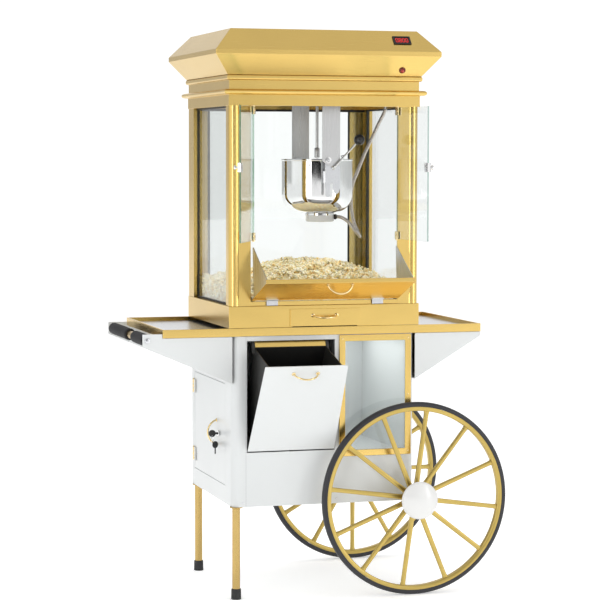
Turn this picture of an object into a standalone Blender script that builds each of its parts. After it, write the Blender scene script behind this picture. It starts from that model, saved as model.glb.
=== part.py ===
"""Popcorn cart: a gold kettle popper on a white two-wheeled hand cart.

Frame: +X to the right along the front, the front faces -Y, +Z is up, the floor is z = 0.
Sizes are in metres. Everything hangs from one empty, DATUM, on the cabinet's middle line.
"""

import math

import bmesh
import bpy
from mathutils import Matrix

# ---------------------------------------------------------------- driving dimensions
HEIGHT = 1.800
GAP = 0.0004  # clearance left between pieces that touch
DATUM_Y = 0.0615  # cabinet middle line, from the middle of the whole cart's footprint

CAB_X = 0.3148  # half width of the popper cabinet
CAB_Y = 0.2750  # half depth of the popper cabinet and of the tray
BODY_X = 0.3025  # half width of the white cart body
BODY_Y = 0.2720
TRAY_X = 0.5270

BODY_BOTTOM_Z = 0.2960
BODY_TOP_Z = 0.8365
RIM_TOP_Z = 0.8630
BASE_TOP_Z = 0.9320
HEADER_BOTTOM_Z = 1.5600
HEADER_TOP_Z = 1.6560
SHEET = 0.003  # wall of the folded sheet boxes
CORNER_R = 0.030  # rounding of the white body's two front uprights
CORNER_INNER_R = 0.0225

# wheels and legs
WHEEL_R = 0.3100
RIM_R = 0.2948
WHEEL_X = 0.2850
WHEEL_Y = 0.3270
SPOKES = 12
HUB_OUT = 0.0550  # how far the hub barrel stands out from the wheel's middle plane
HUB_IN = 0.0300
AXLE_R = 0.0090
LEG_X = -0.2860
LEG_Y = 0.2520
LEG_R = 0.0127

# tilt-out bin
BIN_X0, BIN_X1 = -0.2558, 0.0335
BIN_Z0, BIN_Z1 = 0.4682, 0.8220
BIN_MID_X = (BIN_X0 + BIN_X1) / 2
BIN_OPEN_DEG = 32.0
BIN_PIVOT_Z = 0.4730

# display window
WIN_X0, WIN_X1 = 0.0476, 0.2887
WIN_Z0, WIN_Z1 = 0.4460, 0.8350
WIN_BAR = 0.0200

# glass doors
DOOR_W = 0.2350
DOOR_Z0, DOOR_Z1 = 1.1395, 1.5570
DOOR_HINGE_X = 0.2372
DOOR_HINGE_Y = -0.2815
DOOR_LEFT_DEG = 115.0
DOOR_RIGHT_DEG = 95.0
JAMB_X = 0.2432

# tilting flap in front of the popcorn
FLAP_X = 0.2420
FLAP_L = 0.1795
FLAP_PIVOT_Y = -0.2815
FLAP_PIVOT_Z = 0.9520
FLAP_OPEN_DEG = 69.5

# kettle
KETTLE_X = 0.0550
KETTLE_R = 0.1165
KETTLE_RIM_Z = 1.3920
KETTLE_BOTTOM_Z = 1.2180
PIVOT_X = 0.0400
PIVOT_Z = 1.3900
HANGER_Y = 0.1750
CEILING_Z = 1.5900
KNOB_R = 0.0175  # ball on the dumping lever

# side door
SIDE_Y0, SIDE_Y1 = -0.1760, 0.2370
SIDE_Z0, SIDE_Z1 = 0.3530, 0.6805
SIDE_HINGE_X = -0.3065
SIDE_SLACK = 0.0015  # gap between the door and its opening, all round
LOCK_R = 0.0070
LOCK_Y = -0.1080
LOCK_Z = 0.5125

# pulls: one bow pattern for the flap, the bin, the drawer and the side door
BOW_HALF = 0.0390
BOW_RISE = 0.0270
BOW_R = 0.0030

# left handle
ARM_X = -0.5905
BAR_X = -0.5750
BAR_Z = 0.8295
BAR_R = 0.0125
GRIP_R = 0.0190
BOLT_R = 0.0050
BOLT_HEAD_R = 0.0080

COLOURS = {
    "gold": ((0.72, 0.50, 0.16, 1), 0.22, 1.0),
    "brass": ((0.78, 0.60, 0.28, 1), 0.20, 1.0),
    "white": ((0.88, 0.89, 0.88, 1), 0.45, 0.0),
    "steel": ((0.72, 0.73, 0.74, 1), 0.28, 1.0),
    "chrome": ((0.85, 0.86, 0.87, 1), 0.08, 1.0),
    "clear_glass": ((0.90, 0.96, 0.94, 0.3), 0.03, 0.0),
    "rubber": ((0.02, 0.02, 0.022, 1), 0.70, 0.0),
    "tyre": ((0.025, 0.025, 0.03, 1), 0.60, 0.0),
    "foam": ((0.015, 0.015, 0.018, 1), 0.85, 0.0),
    "black_plastic": ((0.02, 0.02, 0.02, 1), 0.35, 0.0),
    "dark_metal": ((0.06, 0.06, 0.06, 1), 0.45, 0.6),
    "white_plastic": ((0.90, 0.90, 0.88, 1), 0.30, 0.0),
    "red_plastic": ((0.75, 0.03, 0.02, 1), 0.25, 0.0),
    "popcorn": ((0.95, 0.88, 0.66, 1), 0.80, 0.0),
}


# ---------------------------------------------------------------- scene helpers
def clear_scene():
    """Removes the startup objects and the data they leave behind."""
    for obj in list(bpy.data.objects):
        bpy.data.objects.remove(obj, do_unlink=True)
    for data in (bpy.data.meshes, bpy.data.curves, bpy.data.materials):
        for block_ in list(data):
            data.remove(block_)


def new_collection(name, hidden=False):
    """A collection under the scene's own, left out of renders when hidden."""
    made = bpy.data.collections.new(name)
    bpy.context.scene.collection.children.link(made)
    made.hide_render = hidden
    return made


def material(name, slot):
    """A Principled material with the colour, roughness and metallic value of its slot."""
    colour, roughness, metallic = COLOURS[slot]
    made = bpy.data.materials.new(name)
    made.use_nodes = True
    shader = made.node_tree.nodes["Principled BSDF"]
    shader.inputs["Base Color"].default_value = colour
    shader.inputs["Roughness"].default_value = roughness
    shader.inputs["Metallic"].default_value = metallic
    shader.inputs["Alpha"].default_value = colour[3]
    made.diffuse_color = colour
    return made


def link(name, data, slot, parent, location=(0, 0, 0), rotation=(0, 0, 0)):
    """Puts mesh or curve data into the cart's collection as one named sub-part."""
    obj = bpy.data.objects.new(name, data)
    CART.objects.link(obj)
    obj.parent = parent
    obj.location = location
    obj.rotation_euler = rotation
    data.materials.append(material(name, slot))
    return obj


def empty(name, location, rotation=(0, 0, 0), parent=None):
    """An empty on a joint axis: its children are modelled in the joint's own frame."""
    obj = bpy.data.objects.new(name, None)
    CART.objects.link(obj)
    obj.empty_display_size = 0.05
    obj.parent = parent
    obj.location = location
    obj.rotation_euler = rotation
    return obj


def as_helper(obj):
    """Moves an object among the cutters and operands, which no render shows."""
    CART.objects.unlink(obj)
    HELPERS.objects.link(obj)
    obj.hide_render = True
    obj.display_type = "WIRE"
    return obj


# ---------------------------------------------------------------- shape helpers
def block(name, low, high, slot, parent, bevel=0.0, segments=2):
    """A box between two corners, with all edges rounded when bevel is given."""
    mesh = bpy.data.meshes.new(name)
    bm = bmesh.new()
    bmesh.ops.create_cube(bm, size=1.0)
    size = [h - l for l, h in zip(low, high)]
    bmesh.ops.scale(bm, vec=size, verts=bm.verts)
    bm.to_mesh(mesh)
    bm.free()
    middle = [(l + h) / 2 for l, h in zip(low, high)]
    obj = link(name, mesh, slot, parent, middle)
    if bevel:
        rounding = obj.modifiers.new("rounding", "BEVEL")
        rounding.width = bevel
        rounding.segments = segments
    return obj


AXIS_TURN = {"X": (0, math.pi / 2, 0), "Y": (math.pi / 2, 0, 0), "Z": (0, 0, 0)}


def rod(name, radius, length, centre, axis, slot, parent, sides=24, top=None):
    """A cylinder, or a cone with radius top at its far end, about X, Y or Z."""
    mesh = bpy.data.meshes.new(name)
    bm = bmesh.new()
    far = radius if top is None else top
    bmesh.ops.create_cone(
        bm, cap_ends=True, segments=sides, radius1=radius, radius2=far, depth=length
    )
    bm.to_mesh(mesh)
    bm.free()
    return smooth(link(name, mesh, slot, parent, centre, AXIS_TURN[axis]))


def smooth(obj, angle=35):
    """Smooth shading with sharp edges kept where faces meet at more than angle."""
    for face in obj.data.polygons:
        face.use_smooth = True
    obj.data.set_sharp_from_angle(angle=math.radians(angle))
    return obj


def turned(name, profile, centre, axis, slot, parent, sides=32, wall=0.0):
    """A profile of (radius, height) points spun about an axis; wall makes an open one a shell."""
    mesh = bpy.data.meshes.new(name)
    if not wall and turns_left(profile):
        profile = profile[::-1]
    ring = not wall and min(radius for radius, _ in profile) > 0
    ends = [(i, i + 1) for i in range(len(profile) - 1)]
    if ring:
        ends.append((len(profile) - 1, 0))
    mesh.from_pydata([(radius, 0, height) for radius, height in profile], ends, [])
    obj = link(name, mesh, slot, parent, centre, AXIS_TURN[axis])
    spin = obj.modifiers.new("spin", "SCREW")
    spin.axis = "Z"
    spin.steps = sides
    spin.render_steps = sides
    spin.use_merge_vertices = True
    spin.merge_threshold = 0.00005
    spin.use_smooth_shade = True
    if wall:
        shell = obj.modifiers.new("wall", "SOLIDIFY")
        shell.thickness = wall
        shell.offset = -1
    return obj


def turns_left(profile):
    """Whether a profile runs up its outer side; a spun solid needs one that runs down it."""
    doubled = 0.0
    for (r0, h0), (r1, h1) in zip(profile, profile[1:] + profile[:1]):
        doubled += r0 * h1 - r1 * h0
    return doubled > 0


def outline(name, points, thickness, centre, turn, slot, parent):
    """A flat closed outline of (x, y) points given half its thickness to each side."""
    curve = bpy.data.curves.new(name, "CURVE")
    curve.dimensions = "2D"
    curve.fill_mode = "BOTH"
    curve.extrude = thickness / 2
    spline = curve.splines.new("POLY")
    spline.points.add(len(points) - 1)
    for point, (x, y) in zip(spline.points, points):
        point.co = (x, y, 0, 1)
    spline.use_cyclic_u = True
    return link(name, curve, slot, parent, centre, turn)


FACE_FRONT = (math.pi / 2, 0, 0)  # outline x, y become X, Z
FACE_SIDE = (math.pi / 2, 0, math.pi / 2)  # outline x, y become Y, Z


def tube(name, points, radius, slot, parent, cyclic=False, resolution=2):
    """A round wire along points, with its ends closed."""
    curve = bpy.data.curves.new(name, "CURVE")
    curve.dimensions = "3D"
    curve.bevel_depth = radius
    curve.bevel_resolution = resolution
    curve.use_fill_caps = True
    spline = curve.splines.new("POLY")
    spline.points.add(len(points) - 1)
    for point, (x, y, z) in zip(spline.points, points):
        point.co = (x, y, z, 1)
    spline.use_cyclic_u = cyclic
    return link(name, curve, slot, parent)


def meshed(obj):
    """Turns a curve object into a mesh object of the same name and place."""
    bpy.context.view_layer.update()
    graph = bpy.context.evaluated_depsgraph_get()
    mesh = bpy.data.meshes.new_from_object(obj.evaluated_get(graph))
    bm = bmesh.new()
    bm.from_mesh(mesh)
    bmesh.ops.remove_doubles(bm, verts=bm.verts, dist=1e-6)
    bmesh.ops.recalc_face_normals(bm, faces=bm.faces)
    bm.to_mesh(mesh)
    bm.free()
    name, parent = obj.name, obj.parent
    location, rotation = obj.location.copy(), obj.rotation_euler.copy()
    curve = obj.data
    bpy.data.objects.remove(obj, do_unlink=True)
    bpy.data.curves.remove(curve)
    made = bpy.data.objects.new(name, mesh)
    CART.objects.link(made)
    made.parent = parent
    made.location = location
    made.rotation_euler = rotation
    return made


def boolean(obj, other, operation):
    """One exact Boolean; the other object becomes a hidden helper."""
    change = obj.modifiers.new(operation.lower(), "BOOLEAN")
    change.operation = operation
    change.solver = "EXACT"
    change.object = as_helper(other)
    return obj


def cut(obj, *others):
    for other in others:
        boolean(obj, other, "DIFFERENCE")
    return obj


def fuse(obj, *others):
    for other in others:
        boolean(obj, other, "UNION")
    return obj


def round_uprights(obj, radius, sides):
    """Rounds a block's upright edges at its front, on the sides given as -1 or 1."""
    corner = obj.modifiers.new("rounded_corners", "BEVEL")
    corner.limit_method = "WEIGHT"
    corner.width = radius
    corner.segments = 6
    verts = obj.data.vertices
    mid_x = sum(vert.co.x for vert in verts) / len(verts)
    mid_y = sum(vert.co.y for vert in verts) / len(verts)
    weights = obj.data.attributes.new("bevel_weight_edge", "FLOAT", "EDGE")
    for edge in obj.data.edges:
        a, b = (verts[i].co for i in edge.vertices)
        side = 1 if a.x > mid_x else -1
        chosen = abs(a.z - b.z) > 0.1 and a.y < mid_y and side in sides
        weights.data[edge.index].value = 1.0 if chosen else 0.0


def hollow(obj, low, high, parent, rounded_side=0):
    """Cuts a box out of obj, inside the rounded front upright on the side given as -1 or 1."""
    cutter = block("cut", low, high, "steel", parent)
    if rounded_side:
        round_uprights(cutter, CORNER_INNER_R, (rounded_side,))
    return cut(obj, cutter)


def bore(obj, radius, length, centre, axis, parent, sides=24):
    """Cuts a round hole out of obj."""
    return cut(obj, rod("bore", radius, length, centre, axis, "steel", parent, sides))


def arc(cx, cy, radius, start, end, steps):
    """Points of a circular arc, angles in degrees."""
    step = (end - start) / steps
    angles = [math.radians(start + step * i) for i in range(steps + 1)]
    return [(cx + radius * math.cos(a), cy + radius * math.sin(a)) for a in angles]


def smooth_route(points, step):
    """A Catmull-Rom curve through the route's points, read off about every step."""
    found = [points[0]]
    padded = [points[0]] + points + [points[-1]]
    for a, b, c, d in zip(padded, padded[1:], padded[2:], padded[3:]):
        count = max(2, round(math.dist(b, c) / step))
        for i in range(1, count + 1):
            t = i / count
            found.append(tuple(catmull(p, t) for p in zip(a, b, c, d)))
    return found


def catmull(p, t):
    """One coordinate of a Catmull-Rom span from p[1] to p[2]."""
    return 0.5 * (
        2 * p[1]
        + (p[2] - p[0]) * t
        + (2 * p[0] - 5 * p[1] + 4 * p[2] - p[3]) * t * t
        + (3 * p[1] - p[0] - 3 * p[2] + p[3]) * t * t * t
    )


def stacked(name, levels, slot):
    """A closed stack of rectangles: levels are (z, half width, half depth), from the bottom up."""
    mesh = bpy.data.meshes.new(name)
    bm = bmesh.new()
    bmesh.ops.create_circle(bm, cap_ends=True, segments=4, radius=math.sqrt(2))
    bmesh.ops.rotate(bm, verts=bm.verts, matrix=Matrix.Rotation(math.pi / 4, 3, "Z"))
    z, half_x, half_y = levels[0]
    bmesh.ops.scale(bm, vec=(half_x, half_y, 1), verts=bm.verts)
    bmesh.ops.translate(bm, vec=(0, 0, z), verts=bm.verts)
    edges = list(bm.edges)
    for (z0, x0, y0), (z1, x1, y1) in zip(levels, levels[1:]):
        made = bmesh.ops.extrude_edge_only(bm, edges=edges)["geom"]
        verts = [item for item in made if isinstance(item, bmesh.types.BMVert)]
        edges = [item for item in made if isinstance(item, bmesh.types.BMEdge)]
        bmesh.ops.scale(bm, vec=(x1 / x0, y1 / y0, 1), verts=verts)
        bmesh.ops.translate(bm, vec=(0, 0, z1 - z0), verts=verts)
    bmesh.ops.edgeloop_fill(bm, edges=edges)
    bmesh.ops.recalc_face_normals(bm, faces=bm.faces)
    bm.to_mesh(mesh)
    bm.free()
    return link(name, mesh, slot, DATUM)


def bow_pull(name, parent, centre, normal_turn):
    """The arched brass pull: its feet stand GAP off the face and it bows out along local -Y."""
    radius = (BOW_HALF**2 + BOW_RISE**2) / (2 * BOW_RISE)
    half_angle = math.degrees(math.asin(BOW_HALF / radius))
    bow = arc(0, radius - BOW_RISE, radius, -90 - half_angle, -90 + half_angle, 12)
    points = [(x, y - BOW_R - GAP, 0) for x, y in bow]
    obj = tube(name, points, BOW_R, "brass", parent)
    obj.location = centre
    obj.rotation_euler = normal_turn
    return obj


# ---------------------------------------------------------------- cart
def cart_body():
    """White sheet body: bin bay at the left, display compartment at the right with the axle below it."""
    body = block(
        "cart_body", (-BODY_X, -BODY_Y, BODY_BOTTOM_Z), (BODY_X, BODY_Y, BODY_TOP_Z), "white", DATUM
    )
    round_uprights(body, CORNER_R, (-1, 1))
    inner_x, inner_y = BODY_X - SHEET, BODY_Y - SHEET
    wall_x = (BIN_X1 + WIN_X0) / 2
    top = BODY_TOP_Z - SHEET
    bay_floor = BODY_BOTTOM_Z + SHEET
    case_floor = 0.440
    left, right = wall_x - SHEET / 2, wall_x + SHEET / 2
    under = BODY_BOTTOM_Z - SHEET
    hollow(body, (-inner_x, -inner_y, bay_floor), (left, inner_y, top), DATUM, -1)
    hollow(body, (right, -inner_y, case_floor), (inner_x, inner_y, top), DATUM, 1)
    hollow(body, (right, -inner_y, under), (inner_x, inner_y, case_floor - SHEET), DATUM, 1)
    through = 0.02
    hollow(body, (BIN_X0, -BODY_Y - through, BIN_Z0), (BIN_X1, -BODY_Y + through, BIN_Z1), DATUM)
    inset = WIN_BAR - 0.006
    hollow(
        body,
        (WIN_X0 + inset, -BODY_Y - through, WIN_Z0 + inset),
        (WIN_X1 - inset, -BODY_Y + through, WIN_Z1 - inset),
        DATUM,
    )
    hollow(
        body,
        (-BODY_X - through, SIDE_Y0, SIDE_Z0),
        (-BODY_X + through, SIDE_Y1, SIDE_Z1),
        DATUM,
    )
    bore(body, AXLE_R + GAP, 2 * BODY_Y + 0.1, (WHEEL_X, 0, WHEEL_R), "Y", DATUM)
    return body



def wing(name, side):
    """Open-topped sheet wing under one end of the tray; the left one carries the handle arms."""
    body_face = BODY_X + GAP
    top = BODY_TOP_Z - GAP
    root_z = 0.6880
    if side < 0:
        end, end_z, arm_top = -ARM_X, 0.8100, 0.8495
    else:
        end, end_z, arm_top = TRAY_X, 0.8230, top
    rim = TRAY_X + GAP
    shape = [(body_face, root_z), (end, end_z), (end, arm_top), (rim, arm_top)]
    shape += [(rim, top), (body_face, top)]
    if side > 0:
        shape = [(body_face, root_z), (end, end_z), (end, top), (body_face, top)]
    shape = [(side * x, z) for x, z in shape]
    made = meshed(outline(name, shape, 2 * BODY_Y, (0, 0, 0), FACE_FRONT, "white", DATUM))
    slope = (end_z - root_z) / (end - body_face)
    wall_in = TRAY_X - 0.010
    inner_y = BODY_Y - SHEET
    inside = [
        (body_face - 0.01, root_z + SHEET * 1.1 - 0.01 * slope),
        (wall_in, root_z + SHEET * 1.1 + (wall_in - body_face) * slope),
        (wall_in, top + 0.02),
        (body_face - 0.01, top + 0.02),
    ]
    inside = [(side * x, z) for x, z in inside]
    cut(made, meshed(outline("cut", inside, 2 * inner_y, (0, 0, 0), FACE_FRONT, "white", DATUM)))
    if side < 0:
        hollow(made, (ARM_X - 0.01, -inner_y, 0.75), (-TRAY_X + 0.006, inner_y, 0.90), DATUM)
        bore(made, BOLT_R + GAP, 0.7, (BAR_X, 0, BAR_Z), "Y", DATUM)
    return made



def handle():
    """Gold bar between the arms on two bolts, with two black foam grips."""
    inner = BODY_Y - SHEET - GAP
    outer = BODY_Y + GAP
    head = outer + 0.004
    profile = [
        (0, head),
        (BOLT_HEAD_R, head),
        (BOLT_HEAD_R, outer),
        (BOLT_R, outer),
        (BOLT_R, inner),
        (BAR_R, inner),
        (BAR_R, -inner),
        (BOLT_R, -inner),
        (BOLT_R, -outer),
        (BOLT_HEAD_R, -outer),
        (BOLT_HEAD_R, -head),
        (0, -head),
    ]
    turned("handle_bar", profile, (BAR_X, 0, BAR_Z), "Y", "gold", DATUM, 20)
    for name, y0, y1 in (("grip_front", -0.262, -0.098), ("grip_rear", -0.012, 0.250)):
        half_length = (y1 - y0) / 2
        inner_r, edge = BAR_R + GAP, 0.004
        ring = [
            (inner_r, half_length),
            (GRIP_R - edge, half_length),
            (GRIP_R, half_length - edge),
            (GRIP_R, -half_length + edge),
            (GRIP_R - edge, -half_length),
            (inner_r, -half_length),
        ]
        turned(name, ring, (BAR_X, (y0 + y1) / 2, BAR_Z), "Y", "foam", DATUM, 20)


def tray():
    """Gold rim all round and the steel sheet that it holds a little below its top."""
    low_z = BODY_TOP_Z + GAP
    rim = block("tray_rim", (-TRAY_X, -CAB_Y, low_z), (TRAY_X, CAB_Y, RIM_TOP_Z), "gold", DATUM)
    wide = 0.006
    hollow(rim, (-TRAY_X + wide, -CAB_Y + wide, 0.8), (TRAY_X - wide, CAB_Y - wide, 0.9), DATUM)
    edge = wide + GAP
    block(
        "tray_sheet",
        (-TRAY_X + edge, -CAB_Y + edge, RIM_TOP_Z - 0.016),
        (TRAY_X - edge, CAB_Y - edge, RIM_TOP_Z - 0.013),
        "steel",
        DATUM,
    )


def legs():
    """Two gold tube legs at the left corners, each in a black rubber foot."""
    for name, y in (("front", -LEG_Y), ("rear", LEG_Y)):
        top = BODY_BOTTOM_Z - GAP
        foot_floor = 0.008
        leg = [
            (0, top),
            (0.021, top),
            (0.021, top - 0.003),
            (LEG_R, top - 0.003),
            (LEG_R, foot_floor + GAP),
            (0, foot_floor + GAP),
        ]
        turned("leg_" + name, leg, (LEG_X, y, 0), "Z", "gold", DATUM, 24)
        foot = [
            (0, foot_floor),
            (LEG_R + GAP, foot_floor),
            (LEG_R + GAP, 0.034),
            (0.0150, 0.034),
            (0.0165, 0.0),
            (0, 0),
        ]
        turned("foot_" + name, foot, (LEG_X, y, 0), "Z", "rubber", DATUM, 24)


def wheel(name, side, phase_deg):
    """Twelve-spoke wheel with a solid tyre, a long hub and a domed hub cap, on its own empty."""
    spin = empty(name + "_spin", (WHEEL_X, side * WHEEL_Y, WHEEL_R), parent=DATUM)
    half = 0.0110
    inner_r = RIM_R - 0.0130
    rim = [(RIM_R, half), (RIM_R, -half), (inner_r, -half), (inner_r, half)]
    made = turned("wheel_" + name, rim, (0, 0, 0), "Y", "gold", spin, 48)
    spoke_w, spoke_t = 0.0150, 0.0110
    for i in range(SPOKES):
        low = (0.030, -spoke_t / 2, -spoke_w / 2)
        high = (inner_r + 0.004, spoke_t / 2, spoke_w / 2)
        spoke = block("spoke", low, high, "gold", spin)
        angle = math.radians(phase_deg + 360 / SPOKES * i)
        middle = (low[0] + high[0]) / 2
        spoke.location = (middle * math.cos(angle), 0, middle * math.sin(angle))
        spoke.rotation_euler = (0, -angle, 0)
        fuse(made, spoke)
    hub_middle = side * (HUB_OUT - HUB_IN) / 2
    fuse(made, rod("hub", 0.0420, HUB_OUT + HUB_IN, (0, hub_middle, 0), "Y", "gold", spin, 32))
    bore(made, AXLE_R + GAP, 0.3, (0, 0, 0), "Y", spin)
    tyre = [
        (WHEEL_R, half - 0.004),
        (WHEEL_R, -half + 0.004),
        (WHEEL_R - 0.004, -half - 0.001),
        (RIM_R + GAP, -half - 0.001),
        (RIM_R + GAP, half + 0.001),
        (WHEEL_R - 0.004, half + 0.001),
    ]
    turned("tyre_" + name, tyre, (0, 0, 0), "Y", "tyre", spin, 48)
    out = HUB_OUT + GAP
    dome = arc(0, out - 0.0975, 0.1145, 90, 90 - math.degrees(math.asin(0.0595 / 0.1145)), 6)
    cap = dome + [(0.0600, out - 0.006), (0.0440, out - 0.006), (0.0440, out), (0, out)]
    cap = [(r, -side * h) for r, h in cap]
    turned("hub_cap_" + name, cap, (0, 0, 0), "Y", "white_plastic", spin, 32)


def axle():
    """Steel axle through the bottom of the body, ending inside the hubs."""
    end = WHEEL_Y + HUB_OUT - 0.004
    collar = BODY_Y + GAP
    profile = [
        (0, end),
        (AXLE_R, end),
        (AXLE_R, collar + 0.010),
        (0.018, collar + 0.010),
        (0.018, collar),
        (AXLE_R, collar),
        (AXLE_R, -collar),
        (0.018, -collar),
        (0.018, -collar - 0.010),
        (AXLE_R, -collar - 0.010),
        (AXLE_R, -end),
        (0, -end),
    ]
    turned("wheel_axle", profile, (WHEEL_X, 0, WHEEL_R), "Y", "steel", DATUM, 24)


def window():
    """Gold frame on the body's front with a fixed pane behind it."""
    front, back = -BODY_Y - 0.005, -BODY_Y - GAP
    frame = block("window_frame", (WIN_X0, front, WIN_Z0), (WIN_X1, back, WIN_Z1), "gold", DATUM)
    hollow(
        frame,
        (WIN_X0 + WIN_BAR, front - 0.01, WIN_Z0 + WIN_BAR),
        (WIN_X1 - WIN_BAR, back + 0.01, WIN_Z1 - WIN_BAR),
        DATUM,
    )
    pane = 0.012
    block(
        "window_glass",
        (WIN_X0 + pane, -BODY_Y + SHEET + GAP, WIN_Z0 + pane),
        (WIN_X1 - pane, -BODY_Y + SHEET + GAP + 0.004, WIN_Z1 - pane),
        "clear_glass",
        DATUM,
    )


# ---------------------------------------------------------------- tilt-out bin
def tilt_bin():
    """White front, black tub behind it, a gold stop bar across its back; drawn in its open pose."""
    pivot = empty(
        "bin_tilt",
        (BIN_MID_X, -BODY_Y + 0.002, BIN_PIVOT_Z),
        (math.radians(BIN_OPEN_DEG), 0, 0),
        DATUM,
    )
    bottom, top, height = 0.1430, 0.1335, 0.3350
    face = [(-bottom, 0.001), (bottom, 0.001), (top, height), (-top, height)]
    thick = 0.004
    outline("bin_front", face, thick, (0, -thick / 2, 0), FACE_FRONT, "white", pivot)
    depth, rear_z, front_z, low = 0.180, 0.2735, 0.329, 0.012
    side = [(GAP, low), (depth - 0.03, low), (depth, 0.050), (depth, rear_z), (GAP, front_z)]
    half = 0.1190
    tub = meshed(outline("bin_tub", side, 2 * half, (0, 0, 0), FACE_SIDE, "black_plastic", pivot))
    wall = 0.003
    inside = [
        (GAP + wall, low + wall),
        (depth - 0.03 - wall / 2, low + wall),
        (depth - wall, 0.050 + wall / 2),
        (depth - wall, 0.36),
        (GAP + wall, 0.40),
    ]
    width = 2 * (half - wall)
    cut(tub, meshed(outline("cut", inside, width, (0, 0, 0), FACE_SIDE, "white", pivot)))
    tip_z = rear_z + 0.0145
    hook = [
        (depth - 0.020, rear_z - 0.012),
        (depth, rear_z - 0.012),
        (depth + 0.016, tip_z - 0.0015),
        (depth + 0.012, tip_z),
    ]
    for x in (-half - 0.003, half + 0.003):
        fuse(tub, meshed(outline("hook", hook, 0.010, (x, 0, 0), FACE_SIDE, "white", pivot)))
    bar = [
        (depth + 0.0008, rear_z),
        (depth + 0.0165, tip_z - 0.0015),
        (depth + 0.0135, tip_z),
        (depth - 0.0022, rear_z + 0.002),
    ]
    bar = [(y, z + GAP) for y, z in bar]
    reach = 2 * (half - 0.003)
    outline("bin_stop_bar", bar, reach, (0, 0, 0), FACE_SIDE, "gold", pivot)
    bow_pull("bin_pull", pivot, (0, -thick, height - 0.028), (0, 0, 0))


# ---------------------------------------------------------------- side door
def side_door():
    """White door on two brass hinges, with a bow pull and a cam lock whose key turns."""
    hinge_y = SIDE_Y1 - SIDE_SLACK
    hinge = empty("side_door_swing", (SIDE_HINGE_X, hinge_y, 0), parent=DATUM)
    outer = -BODY_X - SIDE_HINGE_X
    length = SIDE_Y1 - SIDE_Y0 - 2 * SIDE_SLACK
    z0, z1 = SIDE_Z0 + SIDE_SLACK, SIDE_Z1 - SIDE_SLACK
    door = block("side_door", (outer, -length, z0), (outer + 0.003, -0.001, z1), "white", hinge)
    for z in (0.403, 0.632):
        barrel = rod("barrel", 0.0032, 0.044, (0, 0, z), "Z", "brass", hinge, 12)
        low, high = (0.0005, -0.022, z - 0.022), (outer + 0.001, 0.0005, z + 0.022)
        leaf = block("leaf", low, high, "brass", hinge)
        fuse(door, barrel, leaf)
    bore(door, LOCK_R + GAP, 0.05, (outer, LOCK_Y - hinge_y, LOCK_Z), "X", hinge, 20)
    quarter = math.pi / 2
    bow_pull("side_door_pull", hinge, (outer, -0.085 - hinge_y, 0.514), (0, -quarter, -quarter))
    key = empty("lock_turn", (0, LOCK_Y - hinge_y, LOCK_Z), parent=hinge)
    collar_r, face, inner = 0.0095, outer - 0.003, outer + 0.012
    back = outer - GAP
    profile = [(0, face), (collar_r, face), (collar_r, back), (LOCK_R, back), (LOCK_R, inner), (0, inner)]
    plug = turned("door_key", profile, (0, 0, 0), "X", "black_plastic", key, 20)
    blade = block("blade", (outer - 0.012, -0.001, -0.0035), (outer - 0.002, 0.001, 0.0035), "steel", key)
    head = rod("head", 0.0115, 0.0040, (outer - 0.0215, 0, 0), "Y", "black_plastic", key, 20)
    cam = block("cam", (outer + 0.009, -0.006, -0.007), (outer + 0.0115, 0.006, 0.080), "steel", key)
    fuse(plug, blade, head, cam)



# ---------------------------------------------------------------- popper cabinet
def machine_base():
    """Gold box on the tray with the crumb drawer in its front."""
    bottom = RIM_TOP_Z + GAP
    base = block("machine_base", (-CAB_X, -CAB_Y, bottom), (CAB_X, CAB_Y, BASE_TOP_Z), "gold", DATUM)
    in_x, in_y = CAB_X - SHEET, CAB_Y - SHEET
    hollow(base, (-in_x, -in_y, 0.85), (in_x, in_y, BASE_TOP_Z - SHEET), DATUM)
    hollow(base, (-0.1075, -CAB_Y - 0.01, 0.85), (0.1075, -CAB_Y + 0.02, 0.9110), DATUM)

    slide = empty("drawer_slide", (0, -CAB_Y, 0), parent=DATUM)
    drawer = block("crumb_drawer", (-0.1160, -0.0045, 0.8660), (0.1160, -GAP, 0.9205), "gold", slide)
    tub = block("tub", (-0.1050, -0.0010, 0.8680), (0.1050, 0.3800, 0.9080), "gold", slide)
    fuse(drawer, tub)
    hollow(drawer, (-0.1030, 0.0015, 0.8700), (0.1030, 0.3780, 0.9300), slide)
    bow_pull("drawer_pull", slide, (-0.002, -0.0045, 0.9000), (math.radians(12), 0, 0))


def post_section(front):
    """Outline of a right-hand corner post seen from above: round corner in front, angle at the rear."""
    thick = 0.0100
    if front:
        face_y, face_x = -CAB_Y + 0.004, CAB_X - 0.0063
        cx, cy, radius = 0.2935, -0.2560, 0.0190
        start = math.degrees(math.asin((cy - face_y) / radius))
        bead = arc(cx, cy, radius, -180 + start, 90 - start, 10)
        return (
            [(JAMB_X, face_y)]
            + bead
            + [(face_x, -0.2138), (face_x - thick, -0.2138), (face_x - thick, face_y + 0.022)]
            + [(face_x - 0.022, face_y + thick), (JAMB_X, face_y + thick)]
        )
    face_y, face_x = CAB_Y - 0.0015, CAB_X - 0.0023
    return [
        (0.2490, face_y - thick),
        (face_x - thick, face_y - thick),
        (face_x - thick, 0.2031),
        (face_x, 0.2031),
        (face_x, face_y),
        (0.2490, face_y),
    ]


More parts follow.
